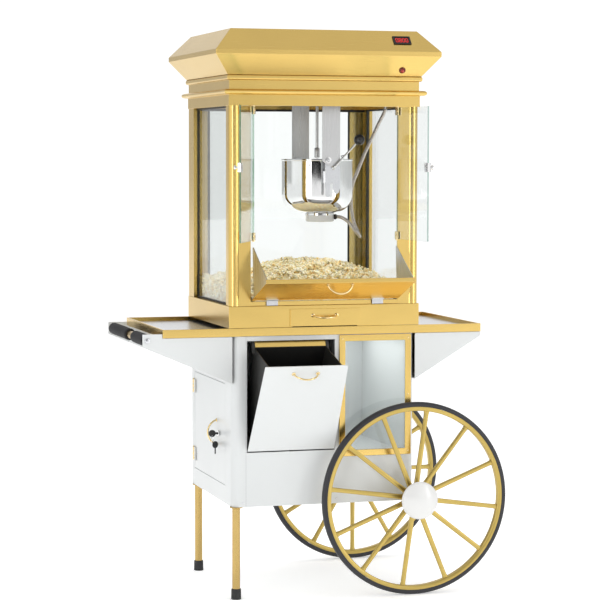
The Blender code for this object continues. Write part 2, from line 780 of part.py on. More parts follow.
def cabinet_frame():
    """Header with its beads and cornice, four corner posts and the front sill, all one gold frame."""
    bead, frieze, cornice, round_in = 0.0060, -0.0020, 0.0180, 0.0120
    outs = (
        (HEADER_BOTTOM_Z, 0),
        (1.5950, 0),
        (1.5955, round_in),
        (1.5990, cornice),
        (1.6070, cornice),
        (1.6105, round_in),
        (1.6110, frieze),
        (1.6400, frieze),
        (1.6405, bead),
        (HEADER_TOP_Z, bead),
    )
    frame = stacked("cabinet_frame", [(z, CAB_X + out, CAB_Y + out) for z, out in outs], "gold")
    inner_x, inner_y = CAB_X - 0.0180, CAB_Y - 0.0180
    hollow(frame, (-inner_x, -inner_y, 1.50), (inner_x, inner_y, 1.70), DATUM)
    foot_z = BASE_TOP_Z + GAP
    rise = HEADER_BOTTOM_Z + 0.002 - foot_z
    for front in (True, False):
        for side in (-1, 1):
            section = [(side * x, y) for x, y in post_section(front)]
            centre = (0, 0, foot_z + rise / 2)
            fuse(frame, meshed(outline("post", section, rise, centre, (0, 0, 0), "gold", DATUM)))
    sill_z = FLAP_PIVOT_Z - 0.006
    sill_y = -CAB_Y + 0.0045
    sill_x = JAMB_X + 0.004
    sill = block("sill", (-sill_x, sill_y, foot_z), (sill_x, sill_y + 0.009, sill_z), "gold", DATUM)
    return fuse(frame, sill)


def roof():
    """Hollow hood with a narrow upright band between its two slopes, a display and a lamp."""
    band = 0.0540
    outs = (
        (HEADER_TOP_Z + GAP, 0.0046),
        (1.7180, band),
        (1.7326, band),
        (HEIGHT, -0.0080),
    )
    skin = 0.0030
    hood = stacked("roof_hood", [(z, CAB_X + out, CAB_Y + out) for z, out in outs], "gold")
    inner = [(z, CAB_X + out - skin, CAB_Y + out - skin) for z, out in outs]
    inner[0] = (HEADER_TOP_Z - 0.001, inner[0][1], inner[0][2])
    inner[-1] = (HEIGHT - skin, inner[-1][1], inner[-1][2])
    cut(hood, stacked("cut", inner, "gold"))

    rise, run = HEIGHT - 1.7326, band + 0.0080
    slope = math.atan2(rise, run)
    half = 0.0015
    along = 0.0480
    y = -CAB_Y - band + along * math.cos(slope) - (half + GAP) * math.sin(slope)
    z = 1.7326 + along * math.sin(slope) + (half + GAP) * math.cos(slope)
    tilt = empty("display_seat", (0.2450, y, z), (slope, 0, 0), DATUM)
    block("display_module", (-0.0290, -0.0170, -half), (0.0290, 0.0170, half), "black_plastic", tilt)

    rise, run = 1.7180 - HEADER_TOP_Z, band - 0.0046
    lean = math.atan2(run, rise)
    along, stand = 0.0235, 0.0040
    y = -CAB_Y - 0.0046 - along * math.sin(lean) - (stand + GAP) * math.cos(lean)
    z = HEADER_TOP_Z + along * math.cos(lean) - (stand + GAP) * math.sin(lean)
    seat = empty("lamp_seat", (0.2480, y, z), (math.pi / 2 + lean, 0, 0), DATUM)
    profile = [(0, stand + 0.003), (0.006, stand + 0.002), (0.009, 0.001), (0.0105, -0.001)]
    profile += [(0.0105, -stand), (0, -stand)]
    turned("pilot_lamp", profile, (0, 0, 0), "Z", "red_plastic", seat, 16)


def glazing():
    """Fixed panes at the left, the right and the rear, and the ceiling with the gear motor on it."""
    z0, z1 = BASE_TOP_Z + GAP, HEADER_BOTTOM_Z - GAP
    thick = 0.0045
    x = CAB_X - 0.0063 - 0.0100 - GAP
    front_y = -CAB_Y + 0.0280
    rear_y = CAB_Y - 0.0015 - 0.0100 - GAP
    for name, side in (("glass_left", -1), ("glass_right", 1)):
        low = (min(side * x, side * (x - thick)), front_y, z0)
        high = (max(side * x, side * (x - thick)), rear_y - 0.002, z1)
        block(name, low, high, "clear_glass", DATUM)
    wide = x - thick - GAP
    block("glass_rear", (-wide, rear_y - thick, z0), (wide, rear_y, z1), "clear_glass", DATUM)

    thin = 0.0030
    edge_x, edge_y = CAB_X - 0.0180 - GAP, CAB_Y - 0.0180 - GAP
    low, high = (-edge_x, -edge_y, CEILING_Z), (edge_x, edge_y, CEILING_Z + thin)
    ceiling = block("ceiling_panel", low, high, "dark_metal", DATUM)
    half, motor_z = 0.045, CEILING_Z + 0.002
    motor = block("motor", (KETTLE_X - half, -half, motor_z), (KETTLE_X + half, half, 1.68), "steel", DATUM)
    fuse(ceiling, motor)
    bore(ceiling, 0.0080, 0.05, (KETTLE_X, 0, CEILING_Z), "Z", DATUM)


def popcorn():
    """The heap of popcorn on the cabinet floor, one lumpy closed solid."""
    mesh = bpy.data.meshes.new("popcorn_pile")
    bm = bmesh.new()
    floor = BASE_TOP_Z + GAP
    front_x, rear_x, y0, y1 = 0.2300, 0.2850, -0.2600, 0.2450
    swept_y, spread = -0.0800, 0.0450  # the closing flap's gussets sweep the front corners up to here
    bmesh.ops.create_grid(bm, x_segments=14, y_segments=14, size=1.0)
    for vert in bm.verts:
        u, v = vert.co.x, vert.co.y
        rim = (1 - abs(u) ** 4) * (1 - max(0.0, v) ** 4)
        front = min(1.0, (v + 1) * 3.4)
        lumps = 0.006 * math.sin(9 * u + 2) * math.cos(8 * v + 1) + 0.004 * math.sin(17 * u * v + 3)
        top = 0.066 + 0.062 * rim * math.exp(-(((u - 0.12) / 0.75) ** 2)) + lumps
        height = max(0.012, top * (0.35 + 0.65 * front))
        y = (y0 + y1) / 2 + v * (y1 - y0) / 2
        behind = min(1.0, max(0.0, (y - swept_y) / spread))
        half_x = front_x + (rear_x - front_x) * behind
        vert.co = (u * half_x, y, floor + height)
    edges = [edge for edge in bm.edges if edge.is_boundary]
    made = bmesh.ops.extrude_edge_only(bm, edges=edges)["geom"]
    for item in made:
        if isinstance(item, bmesh.types.BMVert):
            item.co.z = floor
    bottom = [item for item in made if isinstance(item, bmesh.types.BMEdge)]
    bmesh.ops.edgeloop_fill(bm, edges=bottom)
    bmesh.ops.recalc_face_normals(bm, faces=bm.faces)
    bm.to_mesh(mesh)
    bm.free()
    smooth(link("popcorn_pile", mesh, "popcorn", DATUM), 60)


# ---------------------------------------------------------------- doors and flap
def glass_door(name, side, open_deg):
    """Frameless glass door on two brass clamps, with a brass clip pull; drawn open."""
    turn = math.radians(side * open_deg)
    hinge = empty(name + "_swing", (side * DOOR_HINGE_X, DOOR_HINGE_Y, 0), (0, 0, turn), DATUM)
    half = 0.0028

    def piece(part, x0, x1, y, z0, z1, slot):
        xs = sorted((-side * x0, -side * x1))
        return block(name + part, (xs[0], -y, z0), (xs[1], y, z1), slot, hinge)

    piece("_glass", 0.0020, DOOR_W, half, DOOR_Z0, DOOR_Z1, "clear_glass")
    slot_half = half + GAP
    tall, wide, reach = 0.0250, 0.0175, 0.0062
    for part, z0 in (("_clamp_top", DOOR_Z1 - tall + 0.001), ("_clamp_bottom", DOOR_Z0 - 0.001)):
        clamp = piece(part, -0.0030, wide, reach, z0, z0 + tall, "brass")
        low, high = z0 - 0.01, z0 + tall + 0.01
        cut(clamp, piece("_slot", 0.0020 - GAP, wide + 0.01, slot_half, low, high, "brass"))
    z = (DOOR_Z0 + DOOR_Z1) / 2 + 0.020
    pull = piece("_pull", DOOR_W - 0.0140, DOOR_W + 0.0060, 0.0065, z - 0.0140, z + 0.0140, "brass")
    cut(pull, piece("_slot", DOOR_W - 0.03, DOOR_W + GAP, slot_half, z - 0.02, z + 0.02, "brass"))
    knob_x = -side * (DOOR_W - 0.002)
    fuse(pull, rod("stud", 0.0060, 0.014, (knob_x, -0.0125, z), "Y", "brass", hinge, 16))


def flap():
    """Gold lipped flap with a steel liner and side gussets, hinged along its bottom; drawn open."""
    pivot = empty(
        "flap_tilt", (0, FLAP_PIVOT_Y, FLAP_PIVOT_Z), (math.radians(FLAP_OPEN_DEG), 0, 0), DATUM
    )
    thick = 0.0030
    panel = block("flap_panel", (-FLAP_X, -thick, 0.0015), (FLAP_X, 0, FLAP_L), "gold", pivot)
    fuse(panel, block("lip", (-FLAP_X, -0.0005, FLAP_L - 0.003), (FLAP_X, 0.011, FLAP_L), "gold", pivot))
    sheet = 0.0020
    plate_x = FLAP_X - 0.0040
    top = FLAP_L - 0.0045
    liner = block("flap_liner", (-plate_x, GAP, 0.0050), (plate_x, GAP + sheet, top), "steel", pivot)
    gusset = [(GAP, 0.0050), (0.156, 0.0480), (0.156, 0.0560), (0.012, top), (GAP, top)]
    for side in (-1, 1):
        middle = side * (plate_x - sheet / 2)
        fuse(liner, meshed(outline("gusset", gusset, sheet, (middle, 0, 0), FACE_SIDE, "steel", pivot)))
    for side in (-1, 1):
        fuse(liner, rod("knuckle", 0.0038, 0.036, (side * 0.1745, 0, 0), "X", "steel", pivot, 12))
        low = (side * 0.1745 - 0.018, -0.0010, 0.0)
        high = (side * 0.1745 + 0.018, 0.0012, 0.0080)
        fuse(liner, block("leaf", low, high, "steel", pivot))
        notch = 0.0190
        hollow(
            panel,
            (side * 0.1745 - notch, -0.01, -0.01),
            (side * 0.1745 + notch, 0.01, 0.0090),
            pivot,
        )
    bow_pull("flap_pull", pivot, (0, -thick, FLAP_L - 0.016), (0, 0, 0))


# ---------------------------------------------------------------- kettle
def hanger():
    """Bent steel hanger: a crossbar under the ceiling and a plate in front of and behind the kettle."""
    left, right, low = 0.0190, 0.0800, 1.3720
    top = CEILING_Z - GAP
    thin = 0.0030
    reach = HANGER_Y + thin / 2
    frame = block("kettle_hanger", (left, -reach, top - thin), (right, reach, top), "steel", DATUM)
    inset = 0.0006
    edge_l, edge_r, join_z = left + inset, right - inset, top - thin / 2
    shape = [(edge_l, low + 0.016), (PIVOT_X, low), (edge_r, low), (edge_r, join_z), (edge_l, join_z)]
    for y in (-HANGER_Y, HANGER_Y):
        fuse(frame, meshed(outline("plate", shape, thin - inset, (0, y, 0), FACE_FRONT, "steel", DATUM)))
    bore(frame, 0.0055, 0.5, (PIVOT_X, 0, PIVOT_Z), "Y", DATUM)
    bore(frame, 0.0080, 0.05, (KETTLE_X, 0, top), "Z", DATUM)


def kettle():
    """Round-bottomed pot hung on two pins, with its lid, agitator, heater cup, lever and drive shaft."""
    tilt = empty("kettle_tilt", (PIVOT_X, 0, PIVOT_Z), parent=DATUM)
    dx = KETTLE_X - PIVOT_X
    rim_z, low_z = KETTLE_RIM_Z - PIVOT_Z, KETTLE_BOTTOM_Z - PIVOT_Z
    bowl_r, flat_r = KETTLE_R, 0.0550
    curve = [
        (flat_r + (bowl_r - flat_r) * math.sin(a), low_z + 0.060 * (1 - math.cos(a)))
        for a in [math.radians(90 * i / 6) for i in range(7)]
    ]
    bead = [(bowl_r, rim_z - 0.004), (bowl_r + 0.0025, rim_z - 0.0025), (bowl_r + 0.0025, rim_z)]
    profile = [(0, low_z)] + curve + bead
    pot = turned("kettle_pot", profile[::-1], (dx, 0, 0), "Z", "chrome", tilt, 40, 0.0020)
    cover = rod("cover", bowl_r + 0.0020, 0.0020, (dx, 0, rim_z + 0.0005), "Z", "chrome", tilt, 40)
    half_x = dx + 0.0180
    cut(cover, block("cut", (half_x, -0.2, rim_z - 0.02), (half_x + 0.3, 0.2, rim_z + 0.02), "chrome", tilt))
    bore(cover, 0.0060, 0.1, (dx, 0, rim_z), "Z", tilt)
    fuse(pot, cover)
    plate_y = HANGER_Y - 0.0015 - 0.0010
    for side in (-1, 1):
        ys = sorted((side * plate_y, side * (plate_y - 0.003)))
        fuse(pot, block("bracket", (-0.0085, ys[0], -0.1200), (0.0410, ys[1], 0.0100), "chrome", tilt))
        ys = sorted((side * (plate_y - 0.002), side * (bowl_r - 0.0008)))
        fuse(pot, block("arm", (0.0010, ys[0], -0.0800), (0.0290, ys[1], -0.0300), "chrome", tilt))
        length = 0.0110
        pin_y = side * (plate_y + length / 2 - 0.002)
        fuse(pot, rod("pin", 0.0050, length, (0, pin_y, 0), "Y", "chrome", tilt, 16))

    hinge_z = rim_z + 0.0015
    lid_turn = empty("lid_swing", (half_x + 0.0006, 0, hinge_z), parent=tilt)
    lid = rod("kettle_lid", bowl_r + 0.0020, 0.0012, (-0.0186, 0, -0.0004), "Z", "chrome", lid_turn, 40)
    cut(lid, block("cut", (-0.3, -0.2, -0.02), (0, 0.2, 0.02), "chrome", lid_turn))
    fuse(lid, rod("lid_knob", 0.0060, 0.0120, (0.070, 0, 0.0055), "Z", "chrome", lid_turn, 16))

    cup_x, cup_y, cup_z = dx + 0.0060, -0.0120, low_z - 0.0140
    cup = rod("kettle_base", 0.0400, 0.0270, (cup_x, cup_y, cup_z), "Z", "white_plastic", tilt, 32, top=0.0460)
    spigot_x = cup_x + 0.0440
    fuse(cup, rod("spigot", 0.0085, 0.020, (spigot_x, cup_y - 0.010, cup_z), "X", "steel", tilt, 16))

    agitator_z = low_z + 0.0080
    spin = empty("agitator_spin", (dx, 0, 0), parent=tilt)
    top = rim_z + 0.0035
    stem = rod("agitator", 0.0040, top - agitator_z, (0, 0, (top + agitator_z) / 2), "Z", "steel", spin, 16)
    for reach_x, reach_y, low, thick in ((0.0600, 0.0050, -0.002, 0.003), (0.0050, 0.0800, 0.045, 0.003)):
        z = agitator_z + low
        fuse(stem, block("blade", (-reach_x, -reach_y, z), (reach_x, reach_y, z + thick), "steel", spin))

    front_y = -HANGER_Y + 0.0015 + 0.0010
    start = (0.0180, front_y - GAP, -0.0245)
    knob = (0.1010, -0.1850, 0.0655)
    turn_y = knob[1]
    lever = [start, (start[0], turn_y + 0.003, start[2]), (start[0] + 0.001, turn_y, start[2] + 0.003)]
    end = [k - s * (KNOB_R + GAP) for k, s in zip(knob, lever_direction(lever[-1], knob))]
    tube("dump_lever", lever + [tuple(end)], 0.0030, "chrome", tilt)
    ball_profile = [(0.0, KNOB_R)] + arc(0, 0, KNOB_R, 75, -75, 10) + [(0.0, -KNOB_R)]
    ball = turned("lever_knob", ball_profile, knob, "Z", "black_plastic", tilt, 20)
    ball.rotation_euler = (0, 0, 0)

    shaft = [
        (0, CEILING_Z - 0.0005),
        (0.0050, CEILING_Z - 0.0005),
        (0.0050, 1.4300),
        (0.0085, 1.4300),
        (0.0085, 1.3980),
        (0, 1.3980),
    ]
    turned("drive_shaft", shaft, (KETTLE_X, 0, 0), "Z", "steel", DATUM, 20)



def lever_direction(a, b):
    """Unit vector from a to b."""
    length = math.dist(a, b)
    return [(q - p) / length for p, q in zip(a, b)]


# The conduit's route, from the spigot on the heater cup to the gland in the ceiling.
CONDUIT_R = 0.0060
CONDUIT_ROUTE = [
    (0.1155, -0.0220, 1.2040),
    (0.1300, -0.0230, 1.2025),
    (0.1475, -0.0300, 1.1920),
    (0.1630, -0.0400, 1.1740),
    (0.1760, -0.0460, 1.1540),
    (0.1880, -0.0400, 1.1430),
    (0.1955, -0.0220, 1.1400),
    (0.1960, -0.0020, 1.1500),
    (0.1900, 0.0120, 1.1740),
    (0.1840, 0.0200, 1.2050),
    (0.1800, 0.0240, 1.2520),
    (0.1840, 0.0240, 1.3050),
    (0.2010, 0.0150, 1.3560),
    (0.2200, 0.0040, 1.4100),
    (0.2388, -0.0080, 1.4564),
    (0.2600, -0.0200, 1.5080),
    (0.2790, -0.0300, 1.5520),
    (0.2850, -0.0320, 1.5892),
]


def conduit():
    """Flexible metal conduit of the kettle's heater, from its cup up to the ceiling."""
    tube("kettle_conduit", smooth_route(CONDUIT_ROUTE, 2.2 * CONDUIT_R), CONDUIT_R, "steel", DATUM)


clear_scene()
CART = new_collection("popcorn_cart")
HELPERS = new_collection("cutters", hidden=True)
DATUM = empty("datum", (0, DATUM_Y, 0))

cart_body()
wing("left_wing", -1)
wing("right_wing", 1)
handle()
tray()
legs()
wheel("front", -1, -8.0)
wheel("rear", 1, 0.0)
axle()
window()
tilt_bin()
side_door()
machine_base()
cabinet_frame()
roof()
glazing()
popcorn()
glass_door("door_left", -1, DOOR_LEFT_DEG)
glass_door("door_right", 1, DOOR_RIGHT_DEG)
flap()
hanger()
kettle()
conduit()
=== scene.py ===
import math
import random

import bpy
from mathutils import Matrix, Vector, noise


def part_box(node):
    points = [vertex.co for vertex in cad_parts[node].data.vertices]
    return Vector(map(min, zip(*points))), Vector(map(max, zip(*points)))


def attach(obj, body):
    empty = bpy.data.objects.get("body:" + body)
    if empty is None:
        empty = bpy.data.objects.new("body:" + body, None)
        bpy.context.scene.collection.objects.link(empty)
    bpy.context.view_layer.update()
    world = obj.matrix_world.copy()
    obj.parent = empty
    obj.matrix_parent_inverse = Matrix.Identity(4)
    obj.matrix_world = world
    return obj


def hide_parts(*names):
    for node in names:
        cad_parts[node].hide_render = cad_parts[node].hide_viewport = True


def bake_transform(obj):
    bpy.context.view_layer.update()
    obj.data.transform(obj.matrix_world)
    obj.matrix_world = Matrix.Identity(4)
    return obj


# Looks of the popcorn cart. Metres, +Z up, the cart's front faces -Y.
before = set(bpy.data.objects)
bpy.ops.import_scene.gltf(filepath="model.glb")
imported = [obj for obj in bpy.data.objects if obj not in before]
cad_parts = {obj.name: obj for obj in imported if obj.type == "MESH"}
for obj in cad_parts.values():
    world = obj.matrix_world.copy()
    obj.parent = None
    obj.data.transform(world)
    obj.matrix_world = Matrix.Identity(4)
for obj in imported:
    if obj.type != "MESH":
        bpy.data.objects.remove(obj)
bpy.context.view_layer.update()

BASE_LO, BASE_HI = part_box("machine_base")
MID_Y = (BASE_LO.y + BASE_HI.y) / 2  # the cabinet's middle line


# ------------------------------------------------------------------ camera
def make_camera():
    """The view of the front from a little to its left, with a long lens."""
    yaw, pitch, roll = math.radians(16.3153), math.radians(-3.7894), math.radians(0.0847)
    forward = Vector((math.sin(yaw) * math.cos(pitch), math.cos(yaw) * math.cos(pitch), math.sin(pitch)))
    right = forward.cross(Vector((0, 0, 1))).normalized()
    up = right.cross(forward)
    r = right * math.cos(roll) + up * math.sin(roll)
    u = up * math.cos(roll) - right * math.sin(roll)
    data = bpy.data.cameras.new("camera")
    data.sensor_width, data.lens, data.clip_end = 36, 129.64, 200
    cam = bpy.data.objects.new("camera", data)
    bpy.context.scene.collection.objects.link(cam)
    rows = [(r[i], u[i], -forward[i], (-1.9971, -6.7521, 1.4003)[i]) for i in range(3)]
    cam.matrix_world = Matrix(rows + [(0, 0, 0, 1)])
    bpy.context.scene.camera = cam


make_camera()


# ------------------------------------------------------------------ shapes: (points, faces)
def box(lo, hi):
    (x0, y0, z0), (x1, y1, z1) = lo, hi
    v = [(x0, y0, z0), (x1, y0, z0), (x1, y1, z0), (x0, y1, z0), (x0, y0, z1), (x1, y0, z1), (x1, y1, z1),
         (x0, y1, z1)]
    return v, [(0, 3, 2, 1), (4, 5, 6, 7), (0, 1, 5, 4), (1, 2, 6, 5), (2, 3, 7, 6), (3, 0, 4, 7)]


def merge(*shapes):
    verts, faces = [], []
    for v, f in shapes:
        n = len(verts)
        verts += list(v)
        faces += [tuple(i + n for i in face) for face in f]
    return verts, faces


def moved(shape, matrix):
    v, f = shape
    out = [tuple(matrix @ Vector(p)) for p in v]
    if matrix.determinant() < 0:
        f = [tuple(reversed(face)) for face in f]
    return out, f


def move_by(x, y, z):
    return Matrix.Translation((x, y, z))


def turn_by(angle, axis):
    """Turn about X, Y or Z through the origin, in radians."""
    return Matrix.Rotation(angle, 4, axis)


def prism(outline, a0, a1, axis="Z"):
    """Closed prism of a flat outline. axis Z: (x, y); Y: (x, z); X: (y, z)."""
    area = sum(p[0] * q[1] - q[0] * p[1] for p, q in zip(outline, outline[1:] + outline[:1]))
    pts = outline if area > 0 else outline[::-1]
    n = len(pts)
    place = {"Z": lambda p, a: (p[0], p[1], a), "Y": lambda p, a: (p[0], a, p[1]), "X": lambda p,
             a: (a, p[0], p[1])}[axis]
    v = [place(p, a0) for p in pts] + [place(p, a1) for p in pts]
    f = [tuple(range(n))[::-1], tuple(range(n, 2 * n))]
    f += [(i, (i + 1) % n, n + (i + 1) % n, n + i) for i in range(n)]
    if axis == "Y":
        f = [face[::-1] for face in f]
    return v, f


def lathe(profile, centre=(0, 0, 0), axis="Z", steps=48):
    """Turned solid: profile is (radius, height) up its outer side; ends on the axis or closes on itself."""
    closed = profile[0][0] > 1e-6 or profile[-1][0] > 1e-6
    turn = {"Z": Matrix.Identity(4), "Y": turn_by(-math.pi / 2, "X"), "X": turn_by(math.pi / 2, "Y")}[axis]
    verts, rings = [], []
    for r, h in profile:
        if r < 1e-6:
            rings.append([len(verts)] * steps)
            verts.append((0, 0, h))
        else:
            rings.append([len(verts) + i for i in range(steps)])
            verts += [(r * math.cos(2 * math.pi * i / steps), r * math.sin(2 * math.pi * i / steps), h)
                      for i in range(steps)]
    faces = []
    pairs = list(zip(rings, rings[1:])) + ([(rings[-1], rings[0])] if closed else [])
    for a, b in pairs:
        for i in range(steps):
            j = (i + 1) % steps
            face = []
            for k in (a[i], a[j], b[j], b[i]):
                if k not in face:
                    face.append(k)
            if len(face) > 2:
                faces.append(tuple(face))
    return moved((verts, faces), Matrix.Translation(centre) @ turn)


def tube(points, radius, sides=12):
    """Round tube through the points, ends capped; radius is a number or a function of the index."""
    pts = [Vector(p) for p in points]
    verts, faces = [], []
    tangent = (pts[1] - pts[0]).normalized()
    normal = tangent.orthogonal().normalized()
    for i, p in enumerate(pts):
        ahead = pts[min(i + 1, len(pts) - 1)] - pts[max(i - 1, 0)]
        new = ahead.normalized()
        normal = (tangent.rotation_difference(new) @ normal).normalized()
        tangent = new
        side = tangent.cross(normal)
        r = radius(i) if callable(radius) else radius
        for k in range(sides):
            a = 2 * math.pi * k / sides
            verts.append(tuple(p + normal * r * math.cos(a) + side * r * math.sin(a)))
    for i in range(len(pts) - 1):
        for k in range(sides):
            m = (k + 1) % sides
            faces.append((i * sides + k, i * sides + m, (i + 1) * sides + m, (i + 1) * sides + k))
    last = (len(pts) - 1) * sides
    faces += [tuple(range(sides))[::-1], tuple(range(last, last + sides))]
    return verts, faces


def arc(cx, cy, r, a0, a1, n):
    return [(cx + r * math.cos(math.radians(a0 + (a1 - a0) * i / n)),
             cy + r * math.sin(math.radians(a0 + (a1 - a0) * i / n))) for i in range(n + 1)]


def smooth_path(points, step):
    """Catmull-Rom curve through the points, read off about every step."""
    out = [tuple(points[0])]
    padded = [points[0]] + list(points) + [points[-1]]
    for a, b, c, d in zip(padded, padded[1:], padded[2:], padded[3:]):
        count = max(2, round(math.dist(b, c) / step))
        for i in range(1, count + 1):
            t = i / count
            out.append(tuple(
                0.5 * (2 * p1 + (p2 - p0) * t + (2 * p0 - 5 * p1 + 4 * p2 - p3) * t * t
                       + (3 * p1 - p0 - 3 * p2 + p3) * t ** 3)
                for p0, p1, p2, p3 in zip(a, b, c, d)))
    return out


def screw(centre, axis, r=0.004, rise=0.0016, steps=20):
    """Domed screw head with a cross slot's ring, looking out along axis (+/-X, +/-Y or +/-Z)."""
    dome = [(0, 0), (r, 0), (r, rise * 0.45), (r * 0.8, rise * 0.85), (r * 0.42, rise),
            (r * 0.4, rise * 0.6), (0, rise * 0.6)]
    shape = lathe(dome, (0, 0, 0), "Z", steps)
    turn = Vector((0, 0, 1)).rotation_difference(Vector(axis)).to_matrix().to_4x4()
    return moved(shape, Matrix.Translation(centre) @ turn)


# ------------------------------------------------------------------ materials
def new_material(name):
    mat = bpy.data.materials.new(name)
    mat.use_nodes = True
    tree = mat.node_tree
    return mat, tree, tree.nodes["Principled BSDF"]


def noise_node(tree, scale3, scale=1.0, detail=4.0, rough=0.55):
    coord = tree.nodes.new("ShaderNodeTexCoord")
    mapping = tree.nodes.new("ShaderNodeMapping")
    mapping.inputs["Scale"].default_value = scale3
    tree.links.new(coord.outputs["Object"], mapping.inputs["Vector"])
    made = tree.nodes.new("ShaderNodeTexNoise")
    made.inputs["Scale"].default_value = scale
    made.inputs["Detail"].default_value = detail
    made.inputs["Roughness"].default_value = rough
    tree.links.new(mapping.outputs["Vector"], made.inputs["Vector"])
    return made.outputs["Fac"]


def ramp(tree, fac, stops):
    made = tree.nodes.new("ShaderNodeValToRGB")
    points = made.color_ramp.elements
    while len(points) < len(stops):
        points.new(0.5)
    for point, (pos, colour) in zip(points, stops):
        point.position = pos
        point.color = (*colour[:3], 1)
    tree.links.new(fac, made.inputs["Fac"])
    return made.outputs["Color"]


def span(tree, fac, low, high):
    made = tree.nodes.new("ShaderNodeMapRange")
    made.inputs["From Min"].default_value = 0.3
    made.inputs["From Max"].default_value = 0.7
    made.inputs["To Min"].default_value = low
    made.inputs["To Max"].default_value = high
    tree.links.new(fac, made.inputs["Value"])
    return made.outputs["Result"]


def bump(tree, bsdf, fac, strength, distance):
    made = tree.nodes.new("ShaderNodeBump")
    made.inputs["Strength"].default_value = strength
    made.inputs["Distance"].default_value = distance
    tree.links.new(fac, made.inputs["Height"])
    tree.links.new(made.outputs["Normal"], bsdf.inputs["Normal"])


def tone(colour, k):
    return tuple(min(1.0, c * k) for c in colour)


def metal(name, colour, rough, grain=(60, 60, 60), shade=0.1, strength=0.1, spread=0.06):
    """Metal with a grain stretched along its brushing, uneven gloss and faint handling marks."""
    mat, tree, bsdf = new_material(name)
    bsdf.inputs["Metallic"].default_value = 1.0
    fine = noise_node(tree, grain, 1.0, 5.0, 0.6)
    wide = noise_node(tree, (5, 5, 5), 1.0, 3.0)
    tree.links.new(ramp(tree, wide, [(0.25, tone(colour, 1 - shade)),
        (0.75, tone(colour, 1 + shade * 0.6))]), bsdf.inputs["Base Color"])
    tree.links.new(span(tree, fine, rough - spread, rough + spread), bsdf.inputs["Roughness"])
    bump(tree, bsdf, fine, strength, 0.0003)
    return mat


def coated(name, colour, rough, grain=500.0, shade=0.05, strength=0.08, coat=0.0, metallic=0.0):
    """Paint, plastic or rubber: fine texture in the bump and roughness, and a slow drift in colour."""
    mat, tree, bsdf = new_material(name)
    bsdf.inputs["Metallic"].default_value = metallic
    bsdf.inputs["Coat Weight"].default_value = coat
    bsdf.inputs["Coat Roughness"].default_value = 0.08
    fine = noise_node(tree, (1, 1, 1), grain, 3.0)
    wide = noise_node(tree, (4, 4, 4), 1.0, 4.0)
    tree.links.new(ramp(tree, wide, [(0.3, tone(colour, 1 - shade)), (0.7, tone(colour, 1 + shade))]),
                   bsdf.inputs["Base Color"])
    tree.links.new(span(tree, fine, rough - 0.05, rough + 0.05), bsdf.inputs["Roughness"])
    bump(tree, bsdf, fine, strength, 0.0002)
    return mat


def clear(name, tint, base=0.035):
    """Thin clear glass: what lies behind shows straight through, with reflections and faint smears."""
    mat, tree, bsdf = new_material(name)
    tree.nodes.remove(bsdf)
    out = tree.nodes["Material Output"]
    through = tree.nodes.new("ShaderNodeBsdfTransparent")
    through.inputs["Color"].default_value = (*tint, 1)
    shine = tree.nodes.new("ShaderNodeBsdfGlossy")
    smear = noise_node(tree, (9, 9, 2), 1.0, 4.0)
    tree.links.new(span(tree, smear, 0.0, 0.05), shine.inputs["Roughness"])
    facing = tree.nodes.new("ShaderNodeLayerWeight")
    facing.inputs["Blend"].default_value = 0.5
    fifth = tree.nodes.new("ShaderNodeMath")
    fifth.operation = "POWER"
    fifth.inputs[1].default_value = 5.0
    gloss = tree.nodes.new("ShaderNodeMath")
    gloss.operation = "MULTIPLY_ADD"
    gloss.inputs[1].default_value = 1 - base
    gloss.inputs[2].default_value = base
    tree.links.new(facing.outputs["Facing"], fifth.inputs[0])
    tree.links.new(fifth.outputs["Value"], gloss.inputs[0])
    mix = tree.nodes.new("ShaderNodeMixShader")
    tree.links.new(gloss.outputs["Value"], mix.inputs["Fac"])
    tree.links.new(through.outputs["BSDF"], mix.inputs[1])
    tree.links.new(shine.outputs["BSDF"], mix.inputs[2])
    tree.links.new(mix.outputs["Shader"], out.inputs["Surface"])
    return mat


def glowing(name, colour, power):
    mat, tree, bsdf = new_material(name)
    fac = noise_node(tree, (1, 1, 1), 700.0, 2.0)
    tree.links.new(ramp(tree, fac, [(0.3, tone(colour, 0.85)), (0.7, colour)]), bsdf.inputs["Base Color"])
    bsdf.inputs["Emission Color"].default_value = (*colour, 1)
    bsdf.inputs["Emission Strength"].default_value = power
    bsdf.inputs["Roughness"].default_value = 0.3
    return mat


